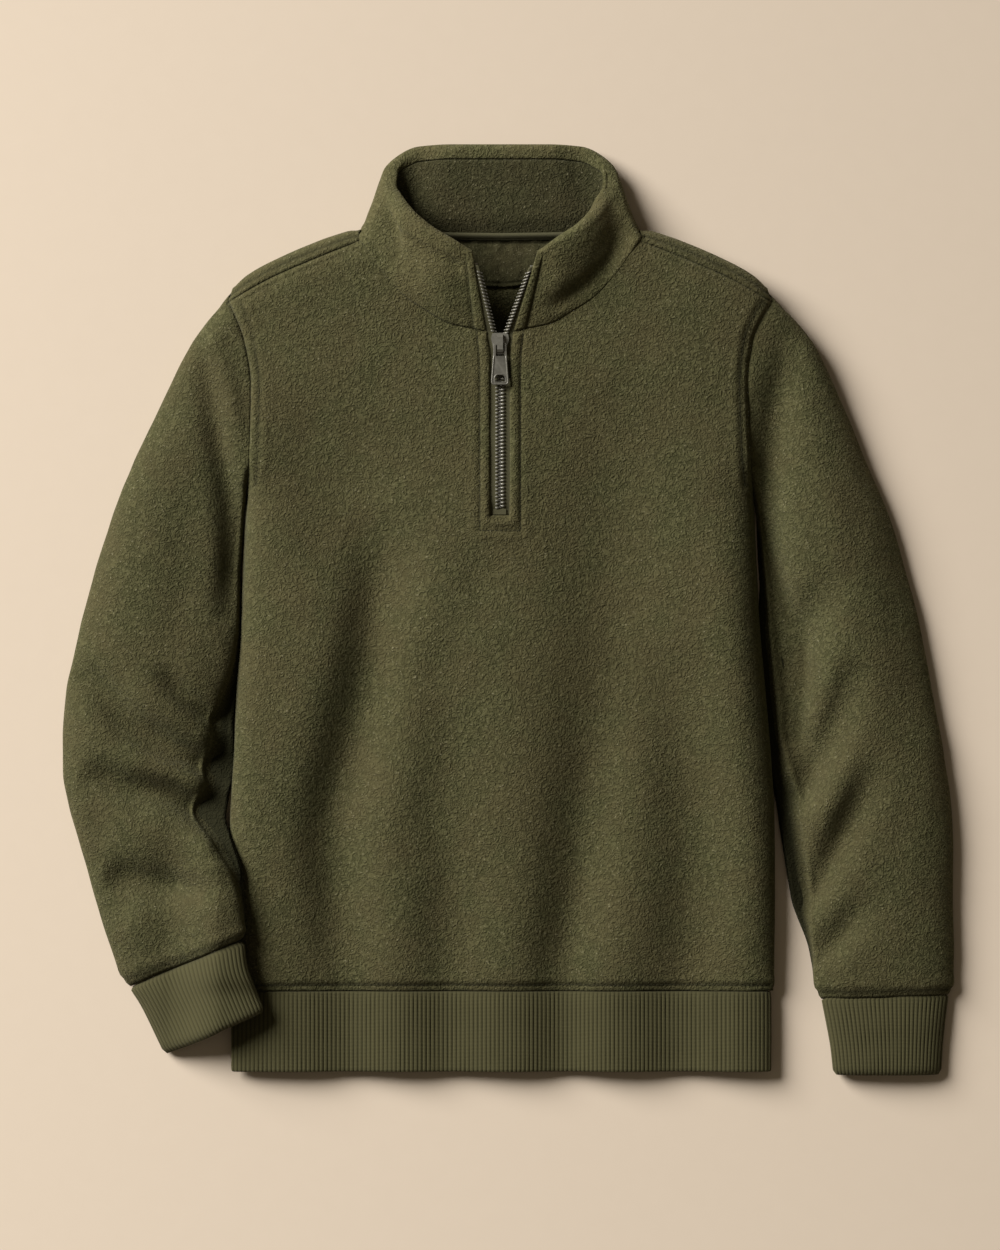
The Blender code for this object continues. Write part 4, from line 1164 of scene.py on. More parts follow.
        # seam mask: painted shade along the topstitching and the seam over the shoulder
        seam = np.maximum(0.95 * topstitch, 0.45 * bell(from_seam, 1.2))
        piece = wall("back", face, back_in, self.cloth, masks={"seam": seam})
        dress(piece, Finishes.FLEECE.material, stands_for=("back_panel",))
        return piece

    def on_front(self, path: Array, above: float = 0.2) -> Array:
        """A plan path laid on the front's finished face.

        Args:
            path: plan places.
            above: how far over the face.

        Returns:
            The same places with their heights.
        """
        x, y = path[:, 0], path[:, 1]
        relief, _ = self.front_relief(x, y)
        return np.column_stack([x, y, SHAPE.front_height(x, y) + relief + above])


def ring_inward(ring: Array, across: tuple[float, float]) -> Array:
    """Inward vectors of a closed ring, square to it within an upright plane.

    Args:
        ring: points of the ring.
        across: the plane's direction in plan.

    Returns:
        One vector for each point.
    """
    level = unit(np.array([*across, 0.0]))
    up = np.array([0.0, 0.0, 1.0])
    along = np.roll(ring, -1, 0) - np.roll(ring, 1, 0)
    turned = unit((along @ up)[:, None] * level - (along @ level)[:, None] * up)
    return -turned if np.sum(turned * (ring - ring.mean(0))) > 0 else turned


def neck_inward(points: Array) -> Array:
    """Inward vectors round the neck: down at the front, up at the back and across at the sides.

    Args:
        points: of the neck's ring.

    Returns:
        One vector for each point.
    """
    across = -np.sign(points[:, 0]) * smooth((np.abs(points[:, 0]) - 45) / 60)
    up = np.clip((24 - points[:, 2]) / 20, -1, 1)
    return unit(np.stack([across, np.zeros(len(points)), up], -1))


# ---------------------------------------------------------------- sleeves, cuffs and hem


def flat_ring(angles: Array, section: Array, inner_power: float = 0.75) -> Array:
    """One cross-section of a sleeve, from its inner edge over the top to its outer edge and back below.

    Formula: in plan a point goes from the inner to the outer edge as a cosine to the power 0.8; its height
    is the middle height plus the rest of the crown times a power of the sine, and below, the middle height
    times one less sine to the power 0.4, so that the underside lies flat. The middle height falls towards
    the outer edge.

    Args:
        angles: 0 at the inner edge, a half turn at the outer edge, negative below.
        section: outer x and y, inner x and y, and the crown's height.
        inner_power: of the sine on the inner half; the higher it is, the lower that half lies.

    Returns:
        Points of the section.
    """
    outer_x, outer_y, inner_x, inner_y, crown = section
    cosine, sine = np.cos(angles), np.sin(angles)
    share = 0.5 + 0.5 * np.sign(cosine) * np.abs(cosine) ** 0.8
    middle = np.minimum(OUTER_LIFT + share * (EDGE_LIFT - OUTER_LIFT), 0.5 * crown)
    top = middle + (crown - middle) * np.abs(sine) ** np.where(cosine < 0, 1.1, inner_power)
    low = middle * (1 - np.abs(sine) ** 0.4)
    x = outer_x + share * (inner_x - outer_x)
    y = outer_y + share * (inner_y - outer_y)
    return np.stack([x, y, np.where(sine >= 0, top, low)], -1)


SECTION = "outer_x outer_y inner_x inner_y crown"


@dataclass(frozen=True)
class SleeveShape:
    """One sleeve: its cross-sections from the armhole to the cuff seam, its cuff's, and its creases."""

    side: Side
    sections: Table
    cuff: Table
    creases: tuple[Crease, ...]
    cuff_turn: float
    # how far the underside reaches in under the gap beside the body: a flap of cloth, painted dark, that
    # stands in for the shade in the gap
    shade_flap: Table
    inner_power: float = 0.75
    lifted: bool = False

    def ride(self, x: Array, y: Array) -> Array:
        """How far the body carries the end of the sleeve up, where the sleeve lies on it.

        Args:
            x: plan places.
            y: plan places.

        Returns:
            Heights to add.
        """
        if not self.lifted:
            return np.zeros(np.shape(x))
        places, heights = np.array([0.0, 62, 80, 160, 196, 236]), np.array([18.5, 18.5, 22.5, 22.5, 12, 0])
        return through(places, heights, y) * smooth((x + 268.0) / 46.0)

    def stations(self, table: Table, spacing: float, start: Array | None = None) -> tuple[Array, Array]:
        """Section values at even steps along the middle of the sleeve.

        Args:
            table: the cross-sections.
            spacing: between two stations.
            start: outer and inner places of a section before the table's first, or None.

        Returns:
            Rows of section values, and how many sections after the first row each is at.
        """
        rows = np.array([table.get(name) for name in table.columns.split()]).T
        if start is not None:
            rows = np.concatenate([[[*start, rows[0, 4]]], rows])
        line = np.arange(len(rows), dtype=float)
        fine = np.linspace(0, len(rows) - 1, 400)
        middle = np.stack([through(line, (rows[:, i] + rows[:, i + 2]) / 2, fine) for i in (0, 1)], -1)
        along = path_lengths(middle)
        stops = np.interp(np.linspace(0, along[-1], round(along[-1] / spacing) + 1), along, fine)
        return np.stack([through(line, rows[:, i], stops) for i in range(5)], -1), stops


RIGHT_SLEEVE = SleeveShape(
    Side.RIGHT,
    Table(
        SECTION,
        (
            (-246, 587, -204.5, 451, 27), (-271, 539, -204.9, 441, 28), (-294, 491, -205.7, 424, 29),
            (-313, 443, -207, 397, 29.5), (-328, 395, -208.8, 362, 30), (-340, 347, -212.5, 330, 30),
            (-349, 303, -223, 300, 30), (-352, 270, -231, 276, 29.5), (-351.5, 240, -233, 248, 29),
            (-346.5, 213, -241, 208, 29), (-338, 183, -229, 184, 28), (-328, 148, -212.5, 158, 26),
            (-315, 105, -205.5, 130, 24), (-304, 76, -204, 114, 22), (-299, 67.5, -205, 108, 20),
        ),
    ),
    Table(
        SECTION,
        (
            (-297, 65, -204, 104, 19), (-291, 56, -202, 88, 20), (-281, 37, -195, 68, 19.5),
            (-270, 13.5, -188, 50, 19),
        ),
    ),
    (
        Crease(((-238, 579, 2, 10), (-226, 520, 7, 11), (-216, 450, 9, 12), (-213, 405, 9, 12),
                (-216, 370, 4, 12))),
        Crease(((-345, 318, 2, 13), (-326, 313, 9, 14), (-296, 281, 13, 14), (-262, 260, 15, 13),
                (-237, 247, 14, 10), (-222, 242, 12, 11))),
        Crease(((-338, 240, 0, 12), (-320, 238, 7, 13), (-296, 229, 12, 14), (-266, 223, 14, 12),
                (-238, 210, 14, 10), (-222, 204, 12, 11))),
        Crease(((-318, 162, 0, 15), (-296, 156, 11, 15), (-268, 150, 12, 14), (-240, 148, 7, 12),
                (-222, 152, 2, 10))),
        Crease(((-276, 330, 0, 9), (-258, 308, 8, 9), (-240, 293, 9, 8), (-229, 285, 8, 7))),
        Crease(((-304, 132, 0, 16), (-292, 118, -3, 18), (-284, 92, 0, 16))),
        Crease(((-229, 585, -2.5, 10), (-218, 540, -4, 10), (-209, 480, -2, 10))),
        Crease(((-256, 520, 0, 20), (-246, 450, 4, 22), (-250, 380, 3, 22), (-262, 320, 0, 20)), 1.3),
        Crease(((-300, 318, 0, 12), (-276, 296, -4, 12), (-248, 272, -4, 10), (-234, 266, -3, 8))),
        Crease(((-310, 262, 0, 12), (-280, 246, -3.5, 11), (-250, 236, -4, 10), (-236, 230, -3, 8))),
        Crease(((-300, 198, 0, 12), (-270, 190, -3.5, 13), (-236, 184, -3, 10))),
        Crease(((-335, 240, 0, 14), (-322, 200, 4, 15), (-312, 150, 2, 14), (-306, 110, 0, 12))),
    ),
    cuff_turn=math.radians(-29),
    shade_flap=Table(
        "y reach", ((110, 0), (150, 8), (180, 18), (215, 25), (270, 22), (310, 13), (350, 7), (400, 0))
    ),
    lifted=True,
)
LEFT_SLEEVE = SleeveShape(
    Side.LEFT,
    Table(
        SECTION,
        (
            (250, 587, 204.7, 451, 27), (274, 539, 205.2, 441, 28), (294, 491, 206, 424, 29),
            (314, 443, 207.4, 397, 29.5), (328, 395, 209.6, 360, 30), (340, 347, 213, 325, 30),
            (348, 303, 217, 287, 29), (357, 255, 228, 247, 28), (363, 215, 240.5, 205, 27),
            (364.5, 175, 244.5, 175, 26), (364.5, 139, 246.5, 140, 25), (365, 100, 250, 104, 24),
            (365, 76, 252, 76, 22), (361.5, 61, 256.5, 58, 18),
        ),
    ),
    Table(
        SECTION,
        (
            (361, 60, 258.5, 57, 17), (358.5, 40, 262.5, 38, 18), (356.5, 20, 266, 16, 17.5),
            (355, -2.5, 268, -2.5, 17),
        ),
    ),
    (
        Crease(((230, 587, 3, 11), (220, 530, 9, 13), (214, 470, 12, 14), (213, 411, 16, 17),
                (220, 360, 22, 20), (228, 318, 22, 22), (234, 282, 20, 20), (239, 250, 11, 14),
                (244, 222, 4, 10), (247, 205, 0, 8)), 1.2),
        Crease(((222, 290, 8, 12), (232, 318, 13, 14), (244, 352, 12, 16), (258, 388, 5, 16),
                (266, 410, 0, 14))),
        Crease(((240, 226, 6, 11), (250, 240, 9, 13), (264, 266, 9.5, 14), (278, 308, 6, 14),
                (286, 334, 0, 14))),
        Crease(((246, 138, 6, 11), (256, 154, 9.5, 13), (273, 188, 9.5, 14), (290, 224, 6, 14),
                (299, 254, 0, 14))),
        Crease(((256, 94, 4, 11), (268, 106, 7, 12), (284, 124, 6, 13), (298, 150, 0, 13))),
        Crease(((240, 262, -1, 11), (252, 288, -3.5, 12), (266, 328, -2, 12), (276, 360, 0, 12))),
        Crease(((248, 176, -1, 11), (262, 208, -3.5, 12), (280, 248, -2, 12), (290, 280, 0, 12))),
        Crease(((240, 560, 0, 12), (256, 500, -2, 16), (268, 430, -2, 16), (276, 380, 0, 16))),
        Crease(((300, 470, 0, 20), (318, 400, 3, 20), (326, 320, 3, 20), (332, 240, 0, 20))),
    ),
    cuff_turn=0.0,
    shade_flap=Table(
        "y reach", ((72, 0), (100, 5), (139, 16), (195, 21), (240, 17), (290, 9), (340, 7), (390, 0))
    ),
    inner_power=1.15,
)


@dataclass
class Sleeve:
    """A sleeve from the armhole's ring to its ribbed cuff."""

    shape: SleeveShape
    ring: Array
    ring_in: Array
    cloth: float = 3.0
    spacing: float = 3.0
    press: float = 0.65  # share of a crease's depth that the inner edge sinks by
    press_below: float = 0.45  # how much more the underside beside it sinks
    pinch: float = 0.34  # share of a crease's depth that draws the inner edge in
    deepest: float = 0.78  # share of the height that a crease can take
    shade_flap_angle: float = 0.42  # below the inner edge, where the underside is tucked in most, as the flap that stands in for the shade in the gap
    shade_flap_width: float = 0.32
    angle: Array = field(init=False)

    def tube(self) -> Array:
        """Rings of points down the sleeve.

        Formula: the armhole's ring turns into the flat-bottomed sections over the first three of them, and
        the creases lower the upper side.

        Returns:
            A grid of points, one row for each ring.
        """
        ring = self.ring
        turn_at = int(np.argmax(ring[:, 1]))
        along = path_lengths(np.concatenate([ring, ring[:1]]))
        whole, turn = along[-1], along[turn_at]
        first, second = along[:-1] / turn, (along[:-1] - turn) / (whole - turn)
        angle = math.pi * np.where(first <= 1, first, second - 1)
        start, end = ring[turn_at, :2], ring[0, :2]
        chord = end - start
        local = ring[:, :2] - start
        share = local @ chord / (chord @ chord)
        beside = (local[:, 1] * chord[0] - local[:, 0] * chord[1]) / np.linalg.norm(chord)
        both_ends = np.concatenate([start, end])
        sections, places = self.shape.stations(self.shape.sections, self.spacing, both_ends)
        rings = []
        for section, place in zip(sections, places):
            mix = float(smooth(place / 3))
            outer, inner = section[:2], section[2:4]
            across = inner - outer
            normal = unit(np.array([-across[1], across[0]]))
            formed = flat_ring(angle, section, self.shape.inner_power)
            # the underside's flap into the gap beside the body, which stands in for shade there
            reach = self.shape.shade_flap.read("y", formed[:, 1], "reach")
            reach = reach * bell(np.minimum(angle, 0) + self.shade_flap_angle, self.shade_flap_width)
            formed[:, 0] -= self.shape.side.value * np.where(angle < 0, reach, 0)
            own = outer + share[:, None] * across + normal * beside[:, None]
            plan = own + mix * (formed[:, :2] - own)
            height = ring[:, 2] + mix * (formed[:, 2] - ring[:, 2])
            pressed = self.press * smooth(3 * np.cos(angle))
            under = pressed * (1 + self.press_below * smooth(-angle / 0.1))
            upper = np.where(angle < 0, under, np.maximum(smooth(2.0 * np.sin(angle)), pressed))
            depth = total_depth(self.shape.creases, plan[:, 0], plan[:, 1])
            above = np.where(angle < 0, smooth(1 + angle / 0.25), 1)
            pinch = self.pinch * depth * smooth((np.cos(angle) - 0.3) / 0.6) * above * mix
            plan = plan - unit(across) * pinch[:, None]
            height = height - upper * np.minimum(depth, self.deepest * height)
            height = height + self.shape.ride(plan[:, 0], plan[:, 1])
            rings.append(np.column_stack([plan, height]))
        self.angle = angle
        return np.array([ring + (self.shape.side.value * SEAM, 0, 0)] + rings[1:])

    def build(self) -> None:
        """Makes the sleeve and its cuff."""
        side = self.shape.side
        rings = self.tube()
        turned = rings if side is Side.LEFT else rings[:, ::-1]
        inward = grid_inward(turned, closed=True)
        inward[0] = self.ring_in if side is Side.LEFT else self.ring_in[::-1]
        if np.sum(inward[-2] * (turned[-1].mean(0) - turned[-2])) < 0:
            inward[1:] = -inward[1:]
        x, y = turned[..., 0], turned[..., 1]
        down = path_lengths(turned.mean(1))[:, None] + 0 * x
        left_over = down[-1, 0] - down
        relief = 0.5 * bell(down - 5, 4.0) - 0.5 * bell(down, 1.6) - 1.8 * bell(left_over, 2.6)
        relief += 0.9 * bell(left_over - 10, 6) * (1 + 0.4 * waves(x, y, 14, 30))
        relief -= 1.1 * bell(left_over - TOPSTITCH, 1.7)
        relief += 0.5 * waves(x, y, 48, 31) + 0.3 * waves(x, y, 22, 32)
        # seam mask: painted shade along the cuff seam, its topstitching and the armhole seam
        seam = np.maximum(bell(left_over - TOPSTITCH, 1.5), bell(left_over, 2.0))
        seam = np.maximum(seam, 0.35 * bell(down, 1.2))
        # painted shade: the underside beside the body and its flap, darkened through the seam mask
        below = np.where(self.angle < 0, smooth(self.angle / -0.07), 0) * smooth(3 * np.cos(self.angle))
        seam = np.maximum(seam, 1.5 * (below if side is Side.LEFT else below[::-1]) * smooth(down / 60))
        face = turned - inward * (relief * smooth(down / 3))[..., None]
        face[..., 2] = np.maximum(face[..., 2], FLOOR_GAP)
        room = (face[..., 2] - 2 * FLOOR_GAP) / np.maximum(-inward[..., 2] * self.cloth, 0.01)
        inward = inward * np.where(inward[..., 2] < 0, np.clip(room, 0.1, 1), 1)[..., None]
        name = f"sleeve_{side.word}_cloth"
        piece = wall(name, face, inward, self.cloth, closed=True, masks={"seam": seam})
        # the right sleeve gets the darker copy of the fleece: painted shade
        finish = Finishes.SHADED if side is Side.RIGHT else Finishes.FLEECE
        dress(piece, finish.material, stands_for=(f"sleeve_{side.word}",))
        Rib(
            name=f"cuff_{side.word}_rib",
            rings=self.cuff_rings(),
            stands_for=f"cuff_{side.word}",
            turn=self.shape.cuff_turn,
            flat=(0.21, 0.065),
        ).build()

    def cuff_rings(self) -> Array:
        """Evenly spaced points round the cuff, as many as its ribs need.

        Returns:
            A grid of points, one row for each ring.
        """
        turns = np.linspace(0, math.tau, 1441)  # every quarter of a degree
        sections, _ = self.shape.stations(self.shape.cuff, 4.0)
        rough = flat_ring(turns[:-1] - math.pi, sections[0])
        along = path_lengths(np.concatenate([rough, rough[:1]]))
        count = round(along[-1] / RIB_PITCH) * RIB_STEPS
        angles = np.interp(np.linspace(0, along[-1], count + 1)[:-1], along, turns) - math.pi
        rings = np.array([flat_ring(angles, section) for section in sections])
        tucked = rings[0] + 0.9 * (rings[0] - rings[1])
        middle = tucked.mean(0)
        rings = np.concatenate([[middle + 0.95 * (tucked - middle) + (0, 0, 0.6)], rings])
        rings[..., 2] += self.shape.ride(rings[..., 0], rings[..., 1])
        return rings


RIB_PITCH = 3.5  # width of one rib and its valley
RIB_STEPS = 8  # points across it


@dataclass
class Rib:
    """A tube of ribbed knit: rings of evenly spaced points with a raised ridge for each rib."""

    name: str
    rings: Array
    stands_for: str
    turn: float = 0.0
    flat: tuple[float, float] = (0.86, 0.065)
    cloth: float = 3.0
    ridge: float = 0.7

    def build(self) -> None:
        """Makes the tube.

        Formula: across each rib the face rises as the square root of a half sine; the tube turns in as a
        quarter circle at the free edge and sinks a little at the seam.
        """
        rings = self.rings
        columns = rings.shape[1]
        inward = grid_inward(rings, closed=True)
        if np.sum(inward[2] * (rings[2].mean(0) - rings[2])) < 0:
            inward = -inward
        down = path_lengths(rings.mean(1))[:, None]
        left_over = down[-1] - down
        phase = (np.arange(columns) % RIB_STEPS) / RIB_STEPS
        ridge = np.sqrt(np.abs(np.sin(math.pi * phase)))
        x, y = rings[..., 0], rings[..., 1]
        sway = 1 + 0.5 * waves(x, y, 22, 41)
        turned = quarter_round(left_over, 2.2)
        relief = self.ridge * (ridge - 1) * sway * smooth((down + 1) / 4) - turned - bell(down, 2.5)
        relief = relief + 0.3 * waves(x, y, 40, 42)
        face = rings - inward * relief[..., None]
        # valley mask: painted shade between the ribs and along the seam
        valley = np.clip((1 - ridge) ** 1.2 * smooth((down + 1) / 4) + 0.7 * bell(down, 1.8), 0, 1)
        face[..., 2] = np.maximum(face[..., 2], FLOOR_GAP)
        piece = wall(self.name, face, inward, self.cloth, closed=True, masks={"valley": valley})
        material = RibFinish(turn=self.turn).material(self.name)
        dress(piece, material, stands_for=(self.stands_for,))


def hem_rings(ring: Array) -> Array:
    """Evenly spaced points round the hem's band, flatter than the body above it.

    Args:
        ring: the body's lower edge.

    Returns:
        A grid of points, one row for each ring.
    """
    closed = np.concatenate([ring, ring[:1]])
    along = path_lengths(closed)
    stops = np.linspace(0, along[-1], round(along[-1] / RIB_PITCH) * RIB_STEPS + 1)[:-1]
    even = np.stack([np.interp(stops, along, closed[:, i]) for i in range(3)], -1)
    rows = []
    for y in (HEM_DEPTH - GAP, 62.5, 59, 52, 44, 34, 24, 14, 7, 3.5, 2.0, 1.0, 0.4, 0.1):
        points = even.copy()
        points[:, 1] = y
        points[:, 0] *= 0.994
        high = np.maximum(even[:, 2] - EDGE_LIFT, 0)
        points[:, 2] -= high * (0.06 + 0.06 * (1 - y / HEM_DEPTH)) * smooth((HEM_DEPTH - y) / 4)
        rows.append(points)
    return np.array(rows)


# ---------------------------------------------------------------- the collar


@dataclass
class Collar:
    """The stand collar: an outer layer rolled over at the rim and an inner layer that meets it inside."""

    rings: dict[object, tuple[Array, Array]]
    cloth: float = 3.0
    roll: float = 6.2
    leg: float = 6.0
    gap: float = 0.15
    belly: float = 4.0
    inner_depth: float = 4.6
    rim_lean: float = 8.0
    outer_rows: int = 30
    roll_rows: int = 14
    leg_rows: int = 6
    inner_rows: int = 22
    rim: Table = Table(
        "along x y z",
        (
            (0, 0, 745, 6.2), (0.17, 40, 745, 6.2), (0.30, 70, 743.5, 7), (0.38, 84, 737, 11),
            (0.46, 92.5, 726, 19), (0.54, 93, 713.5, 29), (0.62, 86, 702, 40), (0.72, 77, 690, 50),
            (0.81, 62.5, 678, 56), (0.90, 38, 666, 58), (1, 22, 656.5, 56),
        ),
    )
    folds: tuple[Crease, ...] = (
        Crease(((-97, 706, 1, 5), (-92, 690, 4.8, 5), (-84, 664, 5.2, 6), (-74, 643, 2, 7),
                (-64, 626, 0, 7))),
        Crease(((-86, 700, 0, 5), (-80, 684, -2.2, 5), (-73, 662, -2.0, 6), (-66, 640, 0, 6))),
        Crease(((-78, 668, 0, 5), (-68, 650, 2.6, 5), (-60, 630, 0, 6))),
        Crease(((107, 706, 2.5, 5), (103, 690, 4.6, 5.5), (96, 664, 4.4, 7), (87, 640, 1.5, 8))),
        Crease(((84, 690, 0, 6), (76, 668, -1.5, 7), (66, 646, 0, 7))),
        Crease(((34, 610, 0, 8), (48, 616, 4, 8), (66, 627, 4.5, 8), (84, 645, 2, 8))),
    )
    base: Array = field(init=False)
    base_in: Array = field(init=False)
    top_edge: Array = field(init=False)
    rim_in: Array = field(init=False)
    swell: Array = field(init=False)
    top: Array = field(init=False)

    def __post_init__(self) -> None:
        """Works out the collar's base, rim and directions at each station round the neck."""
        bases, rims, inward = [], [], []
        for side in Side:
            points, directions = self.rings["neck", side]
            steps = np.linalg.norm(np.diff(points, axis=0), axis=1)
            along = np.concatenate([[0], np.cumsum(steps)]) / steps.sum()
            rim = np.stack([self.rim.read("along", along, name) for name in "xyz"], -1)
            rim[:, 0] *= side.value
            if side is Side.LEFT:
                rim[:, 0] += self.rim_lean * smooth((along - 0.55) / 0.45)
                rim[:, 2] *= 1 - 0.24 * bell(along - 0.58, 0.17)
            order = slice(None, None, -1) if side is Side.RIGHT else slice(1, None)
            bases.append(points[order])
            rims.append(rim[order])
            inward.append(directions[order])
        self.base, self.top_edge = np.concatenate(bases), np.concatenate(rims)
        self.base_in = np.concatenate(inward)
        x, z = self.top_edge[:, 0], self.top_edge[:, 2]
        across = -x * smooth((np.abs(x) - 30) / 50) / 40
        self.rim_in = unit(np.stack([across, np.zeros(len(x)), np.clip((24 - z) / 16, -1, 1)], -1))
        tall = np.linalg.norm(self.top_edge - self.base, axis=-1, keepdims=True)
        self.base = self.base + unit(self.top_edge - self.base) * self.gap
        self.swell = self.belly * (0.25 + 0.75 * smooth((self.zip_distance() - 8) / 24))[:, None]
        self.top = tall - self.roll - self.gap

    def at(self, height: Array | float, depth: Array | float, chosen: slice | int = slice(None)) -> Array:
        """Points of the stations at a height and a depth.

        Formula: straight from the base to the rim, pushed out by the belly and in by the folds, where the
        front half stands.

        Args:
            height: above the neck seam.
            depth: into the collar.
            chosen: which stations.

        Returns:
            Their points.
        """
        base, base_in = self.base[chosen], self.base_in[chosen]
        rise = self.top_edge[chosen] - base
        share = height / np.linalg.norm(rise, axis=-1, keepdims=True)
        inward = unit(base_in + share * (self.rim_in[chosen] - base_in))
        bow = np.clip(4 * share * (1 - share), 0, 1)
        belly = self.swell[chosen] * np.clip(-inward[..., 2:], 0, 1) * bow
        points = base + rise * share
        fold = total_depth(self.folds, points[..., 0], points[..., 1])[..., None]
        fold = fold * np.clip(-2 * inward[..., 2:], 0, 1)
        return points + inward * (depth - belly + fold * np.minimum(bow * 1.5, 1))

    def zip_distance(self) -> Array:
        """How far each station is from the nearer edge of the zip's opening, half way up the collar."""
        along = path_lengths((self.base + self.top_edge) / 2)
        return np.minimum(along, along[-1] - along)

    def build(self) -> None:
        """Makes both layers."""
        self.outer_layer()
        self.inner_layer()

    def outer_layer(self) -> None:
        """Makes the outer layer, with its rolled rim and the leg that goes down inside.

        Formula: a profile of heights and depths at each station. The stitching beside the zip, the seam at
        the base and the turned edges sink as bells.
        """
        edge = self.zip_distance()
        ends = quarter_round(edge, 1.7)
        welt = np.sin(math.pi * np.clip(edge / WELT, 0, 1)) ** 0.8 * (edge < WELT)
        stitched = 1.1 * bell(edge - WELT, 1.2)
        leeward = smooth(self.top_edge[:, 0] / 50)
        front = np.clip(-2 * self.rim_in[:, 2], 0, 1) * smooth((edge - 9) / 12)
        beside = np.clip(1 - np.abs(self.rim_in[:, 2]), 0, 1) * (np.abs(self.base[:, 0]) > 90)
        # seams: masks of painted shade along the stitching beside the zip, the base seam and the foot of the
        # leg
        rows, seams = [], []
        for share in np.linspace(0, 1, self.outer_rows):
            height = self.top * share
            below_rim = (self.top + self.roll - height)[:, 0]
            calm = 1 - smooth((share - 0.8) / 0.2)
            puff = 0.5 * waves(self.base[:, 0], height[:, 0] + self.base[:, 1], 26, 50)
            valley = (3.2 - 3.2 * leeward) * bell(below_rim - 21, 7)
            valley = valley - (2.2 - 1.5 * leeward) * bell(below_rim - 10, 5)
            depth = 0.35 * bell(height[:, 0], 1.8) + ends
            depth = depth + (stitched - welt - puff * smooth(share * 3)) * calm
            depth -= 2.0 * beside * bell(height[:, 0] - 4, 4)
            rows.append(self.at(height, (depth + valley * front * calm)[:, None]))
            seams.append(np.maximum(0.8 * bell(edge - WELT, 1.0) * calm, 0.35 * bell(height[:, 0], 1.0)))
        for turn in np.linspace(0, math.pi, self.roll_rows + 1)[1:]:
            depth = self.roll * (1 - math.cos(turn)) + ends[:, None] * math.cos(turn)
            rows.append(self.at(self.top + self.roll * math.sin(turn), depth))
            seams.append(np.zeros(len(edge)))
        for down in np.linspace(0, self.leg, self.leg_rows + 1)[1:]:
            sunk = float(0.5 * bell(np.array(self.leg - down), 1.2))
            rows.append(self.at(self.top - down, 2 * self.roll - ends[:, None] - sunk))
            seams.append(np.full(len(edge), 0.3 * bell(np.array(self.leg - down), 1.0)))
        grid = np.array(rows)
        inward = grid_inward(grid)
        if np.sum(inward[0] * self.base_in) < 0:
            inward = -inward
        piece = wall("collar_outer_cloth", grid, inward, self.cloth, masks={"seam": np.array(seams)})
        dress(piece, Finishes.COLLAR.material, stands_for=("collar_outer",))

    def inner_layer(self) -> None:
        """Makes the inner layer, from the neck seam up to the outer layer's leg.

        Formula: its depth goes from the neck's to the rolled rim's as a smooth step over the first quarter
        of its height; the seam and the top edge sink as bells.
        """
        order = np.arange(len(self.base))
        near_zip = smooth((4 - np.minimum(order, order[::-1]) / 6) / 2)[:, None]
        lowest = self.inner_depth + near_zip * 2 * GAP
        full = 2 * self.roll - self.cloth
        top = self.top - self.leg - 2 * GAP
        faces, backs, seams = [], [], []
        for share in np.linspace(0, 1, self.inner_rows):
            height = share * top
            depth = lowest + (full - lowest) * smooth(share * 4)
            swell = 0.9 * bell(height - 3, 2.5) - 1.2 * bell(height, 1.2) - 0.4 * bell(top - height, 1.5)
            swell = swell + 0.4 * waves(self.base[:, 0], 2 * height[:, 0], 22, 52)[:, None]
            backs.append(self.at(height, depth))
            faces.append(self.at(height, depth + self.cloth + swell * smooth(order / 8)[:, None]))
            # seam mask: painted shade along the neck seam, the top edge and the stitching above the seam
            line = np.maximum(bell(height, 1.3), 0.4 * bell(top - height, 1.0))[:, 0]
            seams.append(np.maximum(line, 0.9 * bell(height - 6.5, 1.0)[:, 0]))
        masks = {"seam": np.array(seams + [np.zeros(len(order))] * len(backs))}
        inner = swept("collar_inner_cloth", np.array(faces + backs[::-1]), masks)
        dress(inner, Finishes.FACING.material, stands_for=("collar_inner",))


# ---------------------------------------------------------------- the zip


TAPE_BOTTOM, CHAIN_BOTTOM, SPLIT_Y = 441.0, 452.0, 588.0
FACE_TO_TAPE = 1.0  # from the fleece's face down to the tape's
TAPE_DIP = 1.3  # how much further it goes down under the bottom stop
HALF_MESHED = 0.3  # from the centre to a tape's edge where the teeth mesh
EDGE_TO_TAPE = (7.2, 3.6)  # from the opening's edge to the tape's, at the neckline and at the rim


